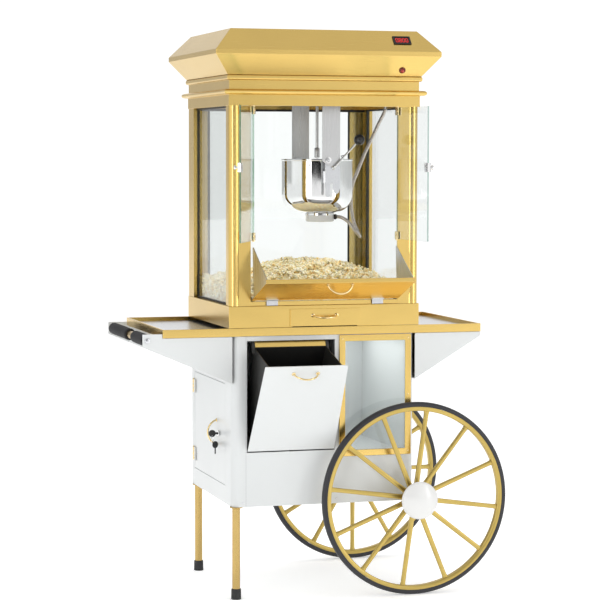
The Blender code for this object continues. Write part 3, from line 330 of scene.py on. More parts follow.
GOLD = (0.76, 0.535, 0.17)
M = {
    "gold": metal("gold_brushed_flat", GOLD, 0.24, (6, 6, 1500), 0.05, 0.035, 0.04),
    "gold_up": metal("gold_brushed_upright", GOLD, 0.22, (1500, 1500, 6), 0.05, 0.03, 0.04),
    "gold_tube": metal("gold_tube", (0.52, 0.365, 0.135), 0.24, (90, 90, 14), 0.1, 0.08),
    "gold_wheel": metal("gold_wheel", (0.52, 0.385, 0.115), 0.34, (160, 160, 160), 0.12, 0.12),
    "brass": metal("brass_polished", (0.83, 0.66, 0.36), 0.18, (200, 200, 200), 0.1, 0.08),
    "steel": metal("steel_brushed", (0.66, 0.67, 0.69), 0.3, (400, 4, 400), 0.06, 0.1),
    "steel_up": metal("steel_brushed_upright", (0.6, 0.6, 0.6), 0.3, (420, 420, 5), 0.06, 0.1),
    "chrome": metal("chrome_mirror", (0.82, 0.82, 0.82), 0.06, (40, 40, 6), 0.04, 0.03, 0.03),
    "conduit": metal("conduit_steel", (0.5, 0.46, 0.42), 0.26, (300, 300, 300), 0.1, 0.1),
    "white": coated("white_enamel", (0.67, 0.69, 0.69), 0.36, 900.0, 0.02, 0.05, 0.25),
    "grey_lip": coated("grey_plastic", (0.3, 0.31, 0.32), 0.4, 700.0, 0.06),
    "rubber": coated("rubber_foot", (0.02, 0.02, 0.022), 0.65, 900.0, 0.25, 0.3),
    "tyre": coated("tyre_rubber", (0.018, 0.018, 0.022), 0.48, 700.0, 0.25, 0.25),
    "foam": coated("foam_grip", (0.012, 0.012, 0.014), 0.8, 1400.0, 0.35, 0.6),
    "gasket": coated("gasket", (0.012, 0.014, 0.013), 0.55, 900.0, 0.2, 0.2),
    "black": coated("black_plastic", (0.01, 0.01, 0.011), 0.2, 800.0, 0.2, 0.05),
    "bezel": coated("black_bezel", (0.01, 0.006, 0.006), 0.55, 800.0, 0.2, 0.05),
    "tub": coated("black_tub", (0.02, 0.02, 0.019), 0.42, 420.0, 0.25, 0.3),
    "dark": coated("dark_ceiling", (0.035, 0.032, 0.03), 0.42, 300.0, 0.2, 0.1, 0.0, 0.5),
    "white_plastic": coated("white_plastic", (0.72, 0.72, 0.71), 0.22, 800.0, 0.03, 0.04, 0.4),
    # painted shadow: flat near-black colour standing for the shade inside the rear vent slots
    "shadow": coated("painted_vent_shadow", (0.03, 0.03, 0.03), 0.8, 300.0, 0.2),
    "glass": clear("clear_glass", (0.965, 0.98, 0.975)),
    "glass_edge": clear("glass_edge", (0.5, 0.62, 0.58), 0.06),
    "glass_edge_deep": clear("glass_edge_deep", (0.16, 0.4, 0.24), 0.05),
    "lamp_ring": coated("lamp_ring", (0.14, 0.02, 0.012), 0.45, 700.0, 0.2, 0.05),
    "red": coated("red_lens", (0.42, 0.02, 0.01), 0.15, 300.0, 0.15, 0.05, 0.5),
    "digits": glowing("red_digits", (0.55, 0.01, 0.01), 0.7),
}


def popcorn_material():
    """Cream flakes with butter-yellow patches and small brown hull marks."""
    mat, tree, bsdf = new_material("popped_corn")
    patch = noise_node(tree, (1, 1, 1), 55.0, 4.0, 0.6)
    fine = noise_node(tree, (1, 1, 1), 420.0, 3.0)
    colour = ramp(tree, patch, [
        (0.3, (0.46, 0.22, 0.06)), (0.37, (0.94, 0.72, 0.32)), (0.48, (1.0, 0.9, 0.6)),
        (0.66, (1.0, 0.97, 0.84))])
    tree.links.new(colour, bsdf.inputs["Base Color"])
    tree.links.new(span(tree, fine, 0.5, 0.72), bsdf.inputs["Roughness"])
    bsdf.inputs["Subsurface Weight"].default_value = 0.15
    bsdf.inputs["Subsurface Radius"].default_value = (0.004, 0.003, 0.002)
    bump(tree, bsdf, fine, 0.4, 0.0006)
    return mat


M["popcorn"] = popcorn_material()


# ------------------------------------------------------------------ pieces
def put(name, shape, mat, body="cart", replaces=(), bevel=0.0, sharp=35, local=True, extra=()):
    """A piece in mesh code on its body, drawn about the cabinet's middle line unless local is False."""
    verts, faces = shape
    mesh = bpy.data.meshes.new(name)
    dy = MID_Y if local else 0.0
    mesh.from_pydata([(x, y + dy, z) for x, y, z in verts], [], [list(f) for f in faces])
    mesh.validate()
    mesh.update()
    obj = bpy.data.objects.new(name, mesh)
    bpy.context.scene.collection.objects.link(obj)
    for m in (mat, *extra):
        mesh.materials.append(M[m])
    mesh.shade_smooth()
    if bevel:
        round_edges(obj, bevel)
    else:
        mesh.set_sharp_from_angle(angle=math.radians(sharp))
    if body:
        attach(obj, body)
    if replaces:
        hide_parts(*replaces)
    return obj


def round_edges(obj, width, weld=False):
    if weld:
        obj.modifiers.new("weld", "WELD").merge_threshold = 0.00002
    mod = obj.modifiers.new("edges", "BEVEL")
    mod.width = width
    mod.segments = 2
    mod.limit_method = "ANGLE"
    mod.angle_limit = math.radians(32)
    mod.harden_normals = False
    obj.modifiers.new("normals", "WEIGHTED_NORMAL").keep_sharp = False


def dress(node, mat, width=0.0):
    """A CAD node kept as it is, with its material and softly broken edges."""
    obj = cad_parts[node]
    obj.data.materials.clear()
    obj.data.materials.append(M[mat])
    for poly in obj.data.polygons:
        poly.material_index = 0
    if width:
        obj.data.shade_smooth()
        round_edges(obj, width, True)


# ------------------------------------------------------------------ the kettle's conduit, the one cord
CONDUIT_R = 0.006
ROUTE = [
    (0.1155, -0.022, 1.204), (0.13, -0.023, 1.2025), (0.1475, -0.03, 1.192), (0.163, -0.04, 1.174),
    (0.176, -0.046, 1.154), (0.188, -0.04, 1.143), (0.1955, -0.022, 1.14), (0.196, -0.002, 1.15),
    (0.19, 0.012, 1.174), (0.184, 0.02, 1.205), (0.18, 0.024, 1.252), (0.184, 0.024, 1.305),
    (0.201, 0.015, 1.356), (0.22, 0.004, 1.41), (0.2388, -0.008, 1.4564), (0.26, -0.02, 1.508),
    (0.279, -0.03, 1.552), (0.285, -0.032, 1.5892),
]


def conduit():
    path = smooth_path(ROUTE, 0.0011)
    ribs = [CONDUIT_R, CONDUIT_R * 0.99, CONDUIT_R * 0.9, CONDUIT_R * 0.9]
    obj = put("flexible_conduit", tube(path, lambda i: ribs[i % 4], 14), "conduit", None, (), 0,
              60)
    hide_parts("kettle_conduit")
    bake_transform(obj)


conduit()


def bow(name, matrix, body, replaces):
    """Arched brass pull on two small round feet, bowing out along the matrix's -Y."""
    half, rise, r = 0.039, 0.027, 0.003
    radius = (half ** 2 + rise ** 2) / (2 * rise)
    a = math.degrees(math.asin(half / radius))
    pts = [(x, y - r - 0.0004, 0) for x, y in arc(0, radius - rise, radius, -90 - a, -90 + a, 32)]
    feet = [lathe([(0, 0), (0.0062, 0), (0.0062, 0.0012), (0.0036, 0.003), (0, 0.003)], (0, 0, 0), "Z",
                  20)] * 2
    turn = turn_by(math.pi / 2, "X")
    placed = [moved(f, move_by(x, -0.0003, 0) @ turn) for f, x in zip(feet, (-half, half))]
    put(name, moved(merge(tube(pts, r, 14), *placed), matrix), "brass", body, replaces, 0, 50)


# ------------------------------------------------------------------ cart body, tray, wings, legs
def cart():
    dress("cart_body", "white")
    for node in ("left_wing", "right_wing"):
        dress(node, "white", 0.0012)
    dress("tray_rim", "gold", 0.001)
    dress("tray_sheet", "steel", 0.0004)
    dress("wheel_axle", "steel")
    lo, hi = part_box("cart_body")
    x0, y0, y1 = lo.x, lo.y - MID_Y, hi.y - MID_Y
    seam = [box((-0.2593, y0 - 0.0002, 0.297), (-0.2587, y0 + 0.0004, 0.836))]
    seam.append(box((x0 + 0.002, y1 - 0.0006, 0.5), (hi.x - 0.002, y1 + 0.0002, 0.5008)))
    put("body_seams", merge(*seam), "grey_lip", "cart")
    heads = [screw((-0.269, y0, 0.31), (0, -1, 0)), screw((0.04, y0, 0.31), (0, -1, 0))]
    heads += [screw((x, y1, z), (0, 1, 0)) for x in (-0.28, -0.14, 0.0, 0.14, 0.28) for z in (0.485, 0.516)]
    heads += [screw((hi.x, y, z), (1, 0, 0)) for y in (y0 + 0.25, y1 - 0.03) for z in (0.55, 0.8)]
    put("body_screws", merge(*heads), "steel", "cart")
    # the vent slots are thin near-black boxes on the back: painted shadow for the dark inside the openings
    vents = [box((x - 0.022, y1 - 0.0006, z), (x + 0.022, y1 + 0.0003, z + 0.0035)) for x in (-0.2, -0.14,
        -0.08) for z in [0.6 + 0.012 * i for i in range(9)]]
    put("rear_vents", merge(*vents), "shadow", "cart")


def legs():
    for name, y in (("front", -0.252), ("rear", 0.252)):
        top, r = 0.2956, 0.0127
        leg = [(0, 0.0084), (r, 0.0084), (r, top - 0.006), (0.015, top - 0.0045), (0.021, top - 0.003),
               (0.021, top), (0, top)]
        put("leg_tube_" + name, lathe(leg, (-0.286, y, 0), "Z", 48), "gold_tube", "cart",
            ("leg_" + name,))
        foot = [(0, 0), (0.015, 0), (0.0165, 0.0015), (0.016, 0.006), (0.0156, 0.028), (0.015, 0.0335),
                (0.0142, 0.034),
                (0.0131, 0.034), (0.0131, 0.008), (0, 0.008)]
        put("foot_cap_" + name, lathe(foot, (-0.286, y, 0), "Z", 40), "rubber", "cart",
            ("foot_" + name,))


def handle():
    x, z, inner, outer = -0.575, 0.8295, 0.2686, 0.2724
    bar = [(0, -inner), (0.0105, -inner), (0.0125, -inner + 0.002), (0.0125, inner - 0.002),
           (0.0105, inner), (0, inner)]
    put("handle_tube", lathe(bar, (x, 0, z), "Y", 48), "gold_tube", "cart", ("handle_bar",))
    bolts = []
    for side in (-1, 1):
        head = [(0, 0), (0.0085, 0), (0.0085, 0.0012), (0.0078, 0.0028), (0.005, 0.004), (0, 0.004)]
        turn = turn_by(-side * math.pi / 2, "X")
        bolts.append(moved(lathe(head, (0, 0, 0), "Z", 24), move_by(x, side * outer, z) @ turn))
    put("handle_bolts", merge(*bolts), "steel", "cart")
    for name, y0, y1 in (("front", -0.262, -0.098), ("rear", -0.012, 0.25)):
        h, r, inner_r = (y1 - y0) / 2, 0.019, 0.0129
        ring = [(inner_r, -h), (r - 0.0035, -h), (r - 0.001, -h + 0.0012), (r, -h + 0.004)]
        ring += [(r + 0.0002 * math.sin(i * 2.3), -h + 0.004 + (2 * h - 0.008) * i / 24)
                 for i in range(1, 24)]
        ring += [(r, h - 0.004), (r - 0.001, h - 0.0012), (r - 0.0035, h), (inner_r, h)]
        put("grip_sleeve_" + name, lathe(ring, (x, (y0 + y1) / 2, z), "Y", 40), "foam", "cart",
            ("grip_" + name,))


# ------------------------------------------------------------------ wheels
def wheel(name, side, phase):
    """Rim, twelve tapered round-edged spokes, stepped hub, solid tyre and domed hub cap."""
    centre = move_by(0.285, side * 0.327, 0.31)
    body = "wheel_" + name
    rim_r, inner_r, half = 0.2948, 0.2818, 0.011
    edge = 0.0028
    rim = [(inner_r, -half + edge), (inner_r + edge * 0.6, -half + 0.0006), (inner_r + edge, -half),
           (rim_r, -half), (rim_r, half),
           (inner_r + edge, half), (inner_r + edge * 0.6, half - 0.0006), (inner_r, half - edge)]
    parts = [lathe(rim, (0, 0, 0), "Y", 128)]
    for i in range(12):
        rings = []
        for r, w, t in ((0.036, 0.0088, 0.0058), (0.06, 0.008, 0.0056), (0.24, 0.007, 0.0054),
                        (0.272, 0.0073, 0.0056), (0.284, 0.0092, 0.0062)):
            rings.append([(r, t * s, w * c) for c, s in (
                (math.copysign(abs(math.cos(a)) ** 0.55, math.cos(a)),
                 math.copysign(abs(math.sin(a)) ** 0.55, math.sin(a)))
                for a in [2 * math.pi * k / 20 for k in range(20)])])
        verts = [p for ring in rings for p in ring]
        faces = [(a * 20 + k, a * 20 + (k + 1) % 20, (a + 1) * 20 + (k + 1) % 20, (a + 1) * 20 + k)
                 for a in range(4) for k in range(20)]
        faces += [tuple(range(20))[::-1], tuple(range(80, 100))]
        parts.append(moved((verts, faces), turn_by(-math.radians(phase + 30 * i), "Y")))
    hub = [(0, 0), (0.03, 0), (0.0335, 0.002), (0.0335, 0.016), (0.04, 0.019), (0.042, 0.022),
           (0.042, 0.041), (0.04, 0.044),
           (0.0365, 0.047), (0.0365, 0.066), (0.042, 0.069), (0.042, 0.0815), (0.0405, 0.0845), (0, 0.0845)]
    turn = turn_by(-side * math.pi / 2, "X")
    parts.append(moved(lathe(hub, (0, 0, 0), "Z", 64), move_by(0, -side * 0.03, 0) @ turn))
    put("wheel_spider_" + name, moved(merge(*parts), centre), "gold_wheel", body,
        ("wheel_" + name,), 0, 30)
    tr = 0.31
    tyre = [(0.2952, -0.0118), (0.302, -0.0122), (0.3065, -0.0108), (0.3092, -0.007), (tr, -0.0025),
            (tr, 0.0025), (0.3092, 0.007),
            (0.3065, 0.0108), (0.302, 0.0122), (0.2952, 0.0118)]
    put("tyre_ring_" + name, moved(lathe(tyre, (0, 0, 0), "Y", 128), centre), "tyre", body,
        ("tyre_" + name,), 0, 60)
    dome = arc(0, 0.0554 - 0.0975, 0.1145, 90, 90 - math.degrees(math.asin(0.0575 / 0.1145)), 14)[::-1]
    cap = [(0, 0.0556), (0.044, 0.0556), (0.044, 0.049), (0.059, 0.049), (0.0602, 0.05), (0.0602, 0.0524),
           (0.0592, 0.0538)] + dome
    disc = moved(lathe(cap, (0, 0, 0), "Z", 72), turn)
    put("hub_cap_dome_" + name, moved(disc, centre), "white_plastic", body,
        ("hub_cap_" + name,), 0, 50)


# ------------------------------------------------------------------ window, bin, side door
def window():
    dress("window_frame", "gold_up", 0.0012)
    lo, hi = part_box("window_glass")
    y0, y1 = lo.y - MID_Y, hi.y - MID_Y
    put("window_pane", box((lo.x, y0, lo.z), (hi.x, y1, hi.z)), "glass", "cart",
        ("window_glass",))
    lo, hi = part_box("window_frame")
    heads = [screw((x, lo.y - MID_Y, z), (0, -1, 0), 0.0028, 0.001, 16) for x in (lo.x + 0.01, hi.x - 0.01)
             for z in (lo.z + 0.012, (lo.z + hi.z) / 2, hi.z - 0.012)]
    put("window_screws", merge(*heads), "brass", "cart")


def bin_parts():
    pivot = move_by(-0.11115, -0.27, 0.473) @ turn_by(math.radians(32.0), "X")
    dress("bin_front", "white", 0.0014)
    dress("bin_tub", "tub", 0.0012)
    dress("bin_stop_bar", "gold", 0.0005)
    bow("bin_bow", pivot @ move_by(0, -0.004, 0.307), "bin", ("bin_pull",))
    lip = [(0.0008, 0.02), (0.015, 0.02), (0.015, 0.31), (0.0008, 0.326)]
    put("bin_side_lip", moved(merge(*[prism(lip, x, x + 0.0022, "X") for x in (-0.1216, 0.1194)]), pivot),
        "grey_lip", "bin", (), 0.0006)


def side_door():
    dress("side_door", "white", 0.0012)
    hinge_x, hinge_y = -0.3065, 0.2355
    outer = -0.3025
    barrels = []
    for z in (0.403, 0.632):
        for k in range(3):
            h0 = z - 0.022 + k * 0.0148
            ring = [(0, 0), (0.0026, 0), (0.0034, 0.0006), (0.0034, 0.0138), (0.0026, 0.0144), (0, 0.0144)]
            barrels.append(lathe(ring, (hinge_x, hinge_y, h0), "Z", 20))
        barrels.append(lathe([(0, 0), (0.0022, 0), (0.003, 0.0016), (0.002, 0.0034), (0, 0.0038)],
                             (hinge_x, hinge_y, z + 0.0222), "Z", 16))
        barrels.append(box((outer - 0.0024, hinge_y - 0.022, z - 0.022), (outer - 0.0006, hinge_y - 0.001,
            z + 0.022)))
        for dz in (-0.013, 0.013):
            barrels.append(screw((outer - 0.0024, hinge_y - 0.013, z + dz), (-1, 0, 0), 0.003, 0.0012, 16))
    put("door_hinges", merge(*barrels), "brass", "side_door")
    q = math.pi / 2
    turn = turn_by(-q, "Z") @ turn_by(-q, "Y")
    bow("side_door_bow", move_by(outer - 0.004, -0.085, 0.514) @ turn, "side_door", ("side_door_pull",))
    lo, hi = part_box("side_door")
    keys = []
    y, z = -0.108, 0.5125
    collar = [(0, 0), (0.0096, 0), (0.0096, 0.0018), (0.0086, 0.003), (0.0062, 0.003), (0.0056, 0.002),
              (0, 0.002)]
    face = moved(lathe(collar, (0, 0, 0), "Z", 36), move_by(outer - 0.004, y, z) @ turn_by(-q, "Y"))
    put("lock_collar", face, "chrome", "lock")
    head = arc(0, 0, 0.0115, 0, 360, 27)[:-1]
    keys.append(prism([(p[0] + outer - 0.0255, p[1] + z) for p in head], y - 0.0021, y + 0.0021, "Y"))
    keys.append(box((outer - 0.015, y - 0.0009, z - 0.0034), (outer - 0.006, y + 0.0009, z + 0.0034)))
    hang = moved(prism(head, -0.0018, 0.0018, "Y"), move_by(outer - 0.0165, y - 0.004, z - 0.036)
                 @ turn_by(0.5, "Z"))
    keys.append(hang)
    keys.append(box((outer - 0.0185, y - 0.005, z - 0.066), (outer - 0.0145, y - 0.003, z - 0.046)))
    put("door_keys", merge(*keys), "black", "lock", ("door_key",), 0.0006)
    ring = [(outer - 0.025 + 0.01 * math.cos(a) * 0.4, y - 0.002 + 0.004 * math.cos(a),
             z - 0.018 + 0.0125 * math.sin(a)) for a in [2 * math.pi * i / 32 for i in range(33)]]
    put("key_ring", tube(ring, 0.0007, 8), "chrome", "lock")


# ------------------------------------------------------------------ popper cabinet
def profile_ring(levels, half_x, half_y):
    """Hollow rectangular moulding with mitred corners; levels are (z, outward offset), bottom up."""
    verts, faces = [], []
    for z, out in levels:
        x, y = half_x + out, half_y + out
        verts += [(-x, -y, z), (x, -y, z), (x, y, z), (-x, y, z)]
    n = len(levels)
    for i in range(n):
        j = (i + 1) % n
        for k in range(4):
            m = (k + 1) % 4
            faces.append((i * 4 + k, i * 4 + m, j * 4 + m, j * 4 + k))
    return verts, faces


def header():
    """Header band, cornice, frieze and bead as one moulding round the cabinet."""
    cx, cy = 0.3148, 0.275
    levels = [(1.56, 0), (1.594, 0), (1.595, 0.011), (1.5975, 0.016), (1.601, 0.018), (1.605, 0.018),
              (1.608, 0.016),
              (1.6105, 0.0115), (1.6112, -0.002), (1.6395, -0.002), (1.64, 0.003), (1.6425, 0.0055),
              (1.645, 0.0062),
              (1.651, 0.0062), (1.654, 0.005), (1.656, 0.0025), (1.656, -0.018), (1.56, -0.018)]
    posts = []
    for front in (True, False):
        for side in (-1, 1):
            section = [(side * x, y) for x, y in post_outline(front)]
            posts.append(prism(section, 0.9324, 1.5605, "Z"))
    put("header_moulding", profile_ring(levels, cx, cy), "gold", "cart", (), 0.0006)
    put("corner_posts", merge(*posts), "gold_up", "cart", ("cabinet_frame",), 0, 24)
    jamb = 0.2432 + 0.004
    put("front_sill", box((-jamb, -0.2705, 0.9324), (jamb, -0.2615, 0.946)), "gold", "cart", (),
        0.0008)


def post_outline(front):
    thick = 0.01
    if front:
        face_y, face_x, jamb = -0.271, 0.3085, 0.2432
        cx, cy, r = 0.2935, -0.256, 0.019
        start = math.degrees(math.asin((cy - face_y) / r))
        return ([(jamb, face_y)] + arc(cx, cy, r, -180 + start, 90 - start, 30) + [(face_x, -0.2138),
            (face_x - thick, -0.2138),
                (face_x - thick, face_y + 0.022), (face_x - 0.022, face_y + thick), (jamb, face_y + thick)])
    face_y, face_x = 0.2735, 0.3125
    return [(0.249, face_y - thick), (face_x - thick, face_y - thick), (face_x - thick, 0.2031),
            (face_x, 0.2031), (face_x, face_y), (0.249, face_y)]


def roof():
    dress("roof_hood", "gold", 0.0022)
    lo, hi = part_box("roof_hood")
    display()
    lo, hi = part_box("pilot_lamp")
    c = (lo + hi) / 2
    lean = math.atan2(0.0494, 0.0616)
    turn = turn_by(math.pi / 2 + lean, "X")
    place = move_by(c.x, c.y - MID_Y, c.z) @ turn
    bezel = [(0.0062, -0.0032), (0.0105, -0.0032), (0.0105, -0.0006), (0.0092, 0.001), (0.0068, 0.001),
             (0.0062, 0.0002)]
    put("lamp_bezel", moved(lathe(bezel, (0, 0, 0), "Z", 32), place), "lamp_ring", "cart")
    dome = [(0, -0.003), (0.0061, -0.003), (0.0061, 0.0012), (0.0054, 0.0028), (0.0036, 0.004), (0, 0.0046)]
    put("lamp_lens", moved(lathe(dome, (0, 0, 0), "Z", 28), place), "red", "cart",
        ("pilot_lamp",))


def display():
    """Black bezel with a recessed window and two seven-segment digits."""
    band, top = 0.054, 1.8
    slope = math.atan2(top - 1.7326, band + 0.008)
    along = 0.048
    y = -0.275 - band + along * math.cos(slope)
    z = 1.7326 + along * math.sin(slope)
    place = move_by(0.245, y, z) @ turn_by(slope, "X")
    hx, hy, t = 0.029, 0.017, 0.0034
    frame_part = []
    for a in ((-hx, -hy, hx, -hy + 0.0045), (-hx, hy - 0.0045, hx, hy), (-hx, -hy + 0.0045, -hx + 0.006,
        hy - 0.0045), (hx - 0.006, -hy + 0.0045, hx, hy - 0.0045)):
        frame_part.append(box((a[0], a[1], 0.0003), (a[2], a[3], t)))
    frame_part.append(box((-hx + 0.003, -hy + 0.003, 0.0003), (hx - 0.003, hy - 0.003, 0.0016)))
    put("display_case", moved(merge(*frame_part), place), "bezel", "cart",
        ("display_module",), 0.0004)
    lit = []
    segments = {"a": (0, 1), "b": (1, 0.5), "c": (1, -0.5), "d": (0, -1), "e": (-1, -0.5), "f": (-1, 0.5),
                "g": (0, 0)}
    for cx, on in ((-0.0165, "abcdef"), (-0.0055, "abcdefg"), (0.0055, "abcdef"), (0.0165, "abcdef")):
        for s in on:
            ux, uy = segments[s]
            long_x = ux == 0
            w, h = (0.0028, 0.0009) if long_x else (0.0009, 0.0034)
            px, py = cx + ux * 0.0034, uy * 0.008
            lit.append(box((px - w, py - h, 0.0015), (px + w, py + h, 0.0021)))
    put("display_digits", moved(merge(*lit), place), "digits", "cart")


def glass_slab(name, lo, hi, thin_axis, body, replaces, matrix=None, edge="glass_edge"):
    """Glass pane whose narrow edges show their green."""
    verts, faces = box(lo, hi)
    if matrix:
        verts, faces = moved((verts, faces), matrix)
    obj = put(name, (verts, faces), "glass", body, replaces, extra=(edge,))
    main = {"X": (3, 5), "Y": (2, 4), "Z": (0, 1)}[thin_axis]
    for i, poly in enumerate(obj.data.polygons):
        poly.material_index = 0 if i in main else 1
    return obj


def glazing():
    for name, axis in (("glass_left", "X"), ("glass_right", "X"), ("glass_rear", "Y")):
        lo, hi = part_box(name)
        low, high = (lo.x, lo.y - MID_Y, lo.z), (hi.x, hi.y - MID_Y, hi.z)
        glass_slab(name + "_pane", low, high, axis, "cart", (name,))
    strips = []
    proud, tuck, lap, band = 0.0018, 0.002, 0.0055, 0.005
    post_front, post_rear = -0.2138, 0.2031
    for name in ("glass_left", "glass_right"):
        lo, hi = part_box(name)
        x0, x1 = lo.x - proud, hi.x + proud
        strips.append(box((x0, post_front - tuck, lo.z), (x1, post_front + lap, hi.z)))
        strips.append(box((x0, post_rear - lap, lo.z), (x1, post_rear + tuck, hi.z)))
        strips.append(box((x0, post_front, lo.z), (x1, post_rear, lo.z + band)))
        strips.append(box((x0, post_front, hi.z - band), (x1, post_rear, hi.z)))
    lo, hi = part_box("glass_rear")
    ya, yb = lo.y - MID_Y - 0.0015, hi.y - MID_Y - 0.0002
    for side in (-1, 1):
        xs = sorted((side * 0.249, side * 0.2435))
        strips.append(box((xs[0], ya, lo.z), (xs[1], yb, hi.z)))
    put("gaskets", merge(*strips), "gasket", "cart", (), 0.0004)
    dress("ceiling_panel", "dark")
    rail = box((-0.296, 0.24, 1.553), (0.296, 0.2565, 1.5598))
    put("inner_rail", rail, "dark", "cart", (), 0.0006)


def popcorn():
    """Loose popped corn heaped on the cabinet floor: lobed kernels on a bumpy bed."""
    rng = random.Random(7)
    floor = BASE_HI.z
    front_x, rear_x, y0, y1 = 0.23, 0.285, -0.26, 0.245
    swept_y, spread = -0.08, 0.045

    def height(u, v):
        rim = (1 - abs(u) ** 4) * (1 - max(0.0, v) ** 4)
        front = min(1.0, (v + 1) * 3.4)
        lumps = 0.006 * math.sin(9 * u + 2) * math.cos(8 * v + 1) + 0.004 * math.sin(17 * u * v + 3)
        top = 0.066 + 0.062 * rim * math.exp(-(((u - 0.12) / 0.75) ** 2)) + lumps
        return max(0.012, top * (0.35 + 0.65 * front))

    def spot(u, v, up, inset=1.0):
        y = (y0 + y1) / 2 + v * (y1 - y0) / 2
        behind = min(1.0, max(0.0, (y - swept_y) / spread))
        return u * (front_x + (rear_x - front_x) * behind) * inset, y, floor + up

    def lobe(r, centre, seed):
        pts, n_u, n_v = [], 6, 4
        for i in range(1, n_v):
            for k in range(n_u):
                a, b = 2 * math.pi * k / n_u, math.pi * i / n_v
                p = Vector((math.cos(a) * math.sin(b), math.sin(a) * math.sin(b), math.cos(b)))
                d = 1 + 0.3 * noise.noise(p * 1.7 + Vector((seed, seed * 0.7, 3)))
                pts.append(tuple(Vector(centre) + p * r * d))
        pts += [tuple(Vector(centre) + Vector((0, 0, r))), tuple(Vector(centre) - Vector((0, 0, r)))]
        faces = [((i * n_u) + k, (i + 1) * n_u + k, (i + 1) * n_u + (k + 1) % n_u, i * n_u + (k + 1) % n_u)
                 for i in range(n_v - 2) for k in range(n_u)]
        top, low, last = len(pts) - 2, len(pts) - 1, (n_v - 2) * n_u
        faces += [(top, k, (k + 1) % n_u) for k in range(n_u)] + [(low, last + (k + 1) % n_u, last + k)
            for k in range(n_u)]
        return pts, faces

    kinds = []
    for s in range(6):
        lobes = [lobe(0.0052, (0, 0, 0), s)]
        for k in range(4 + s % 2):
            a, b = rng.uniform(0, 6.28), rng.uniform(-0.6, 1.1)
            d = rng.uniform(0.005, 0.0072)
            lobes.append(lobe(rng.uniform(0.004, 0.006),
                              (d * math.cos(a) * math.cos(b), d * math.sin(a) * math.cos(b),
                                  d * math.sin(b)), s * 7 + k))
        kinds.append(merge(*lobes))
    verts, faces = [], []

    def drop(at, size):
        turn = Matrix.Rotation(rng.uniform(0, 6.28), 4,
            Vector((rng.uniform(-1, 1), rng.uniform(-1, 1), rng.uniform(-1, 1))).normalized())
        v, f = kinds[rng.randrange(len(kinds))]
        place = Matrix.Translation(at) @ turn @ Matrix.Scale(size, 4)
        n = len(verts)
        verts.extend(tuple(place @ Vector(p)) for p in v)
        faces.extend(tuple(i + n for i in face) for face in f)

    count_u, count_v = 46, 40
    for i in range(count_u):
        for j in range(count_v):
            u = -0.98 + 1.96 * (i + rng.uniform(0.1, 0.9)) / count_u
            v = -1 + 1.97 * (j + rng.uniform(0.1, 0.9)) / count_v
            h = height(u, v) + rng.uniform(-0.006, 0.004)
            drop(spot(u, v, h), rng.uniform(0.62, 0.98))
    for side in (-1, 1):
        for i in range(170):
            v = rng.uniform(-0.95, 0.95)
            up = rng.uniform(0.01, max(0.012, height(side * 0.98, v)))
            drop(spot(side * 0.985, v, up), rng.uniform(0.65, 0.95))
    for i in range(180):
        u = rng.uniform(-0.95, 0.95)
        drop(spot(u, 0.976, rng.uniform(0.01, height(u, 0.97))), rng.uniform(0.65, 0.95))
    put("popcorn_kernels", (verts, faces), "popcorn", "cart", (), 0, 180)
    n = 26
    grid = [-1 + 2 * i / n for i in range(n + 1)]
    bed = [spot(u, v, max(0.006, height(u, v) - 0.009), 0.985) for v in grid for u in grid]
    m = n + 1
    skin = [(j * m + i, j * m + i + 1, (j + 1) * m + i + 1, (j + 1) * m + i) for j in range(n)
            for i in range(n)]
    edge = [i for i in range(m)] + [j * m + n for j in range(1, m)] + [n * m + i for i in range(n - 1, -1,
        -1)] + [j * m for j in range(n - 1, 0, -1)]
    low = len(bed)
    bed += [(bed[i][0], bed[i][1], floor + 0.0006) for i in edge]
    skin += [(edge[k], low + k, low + (k + 1) % len(edge), edge[(k + 1) % len(edge)])
             for k in range(len(edge))]
    skin.append(tuple(low + k for k in range(len(edge)))[::-1])
    put("popcorn_bed", (bed, [f[::-1] if k >= n * n and k < len(skin) - 1 else f for k,
                              f in enumerate(skin)]), "popcorn", "cart", ("popcorn_pile",), 0,
                              60)


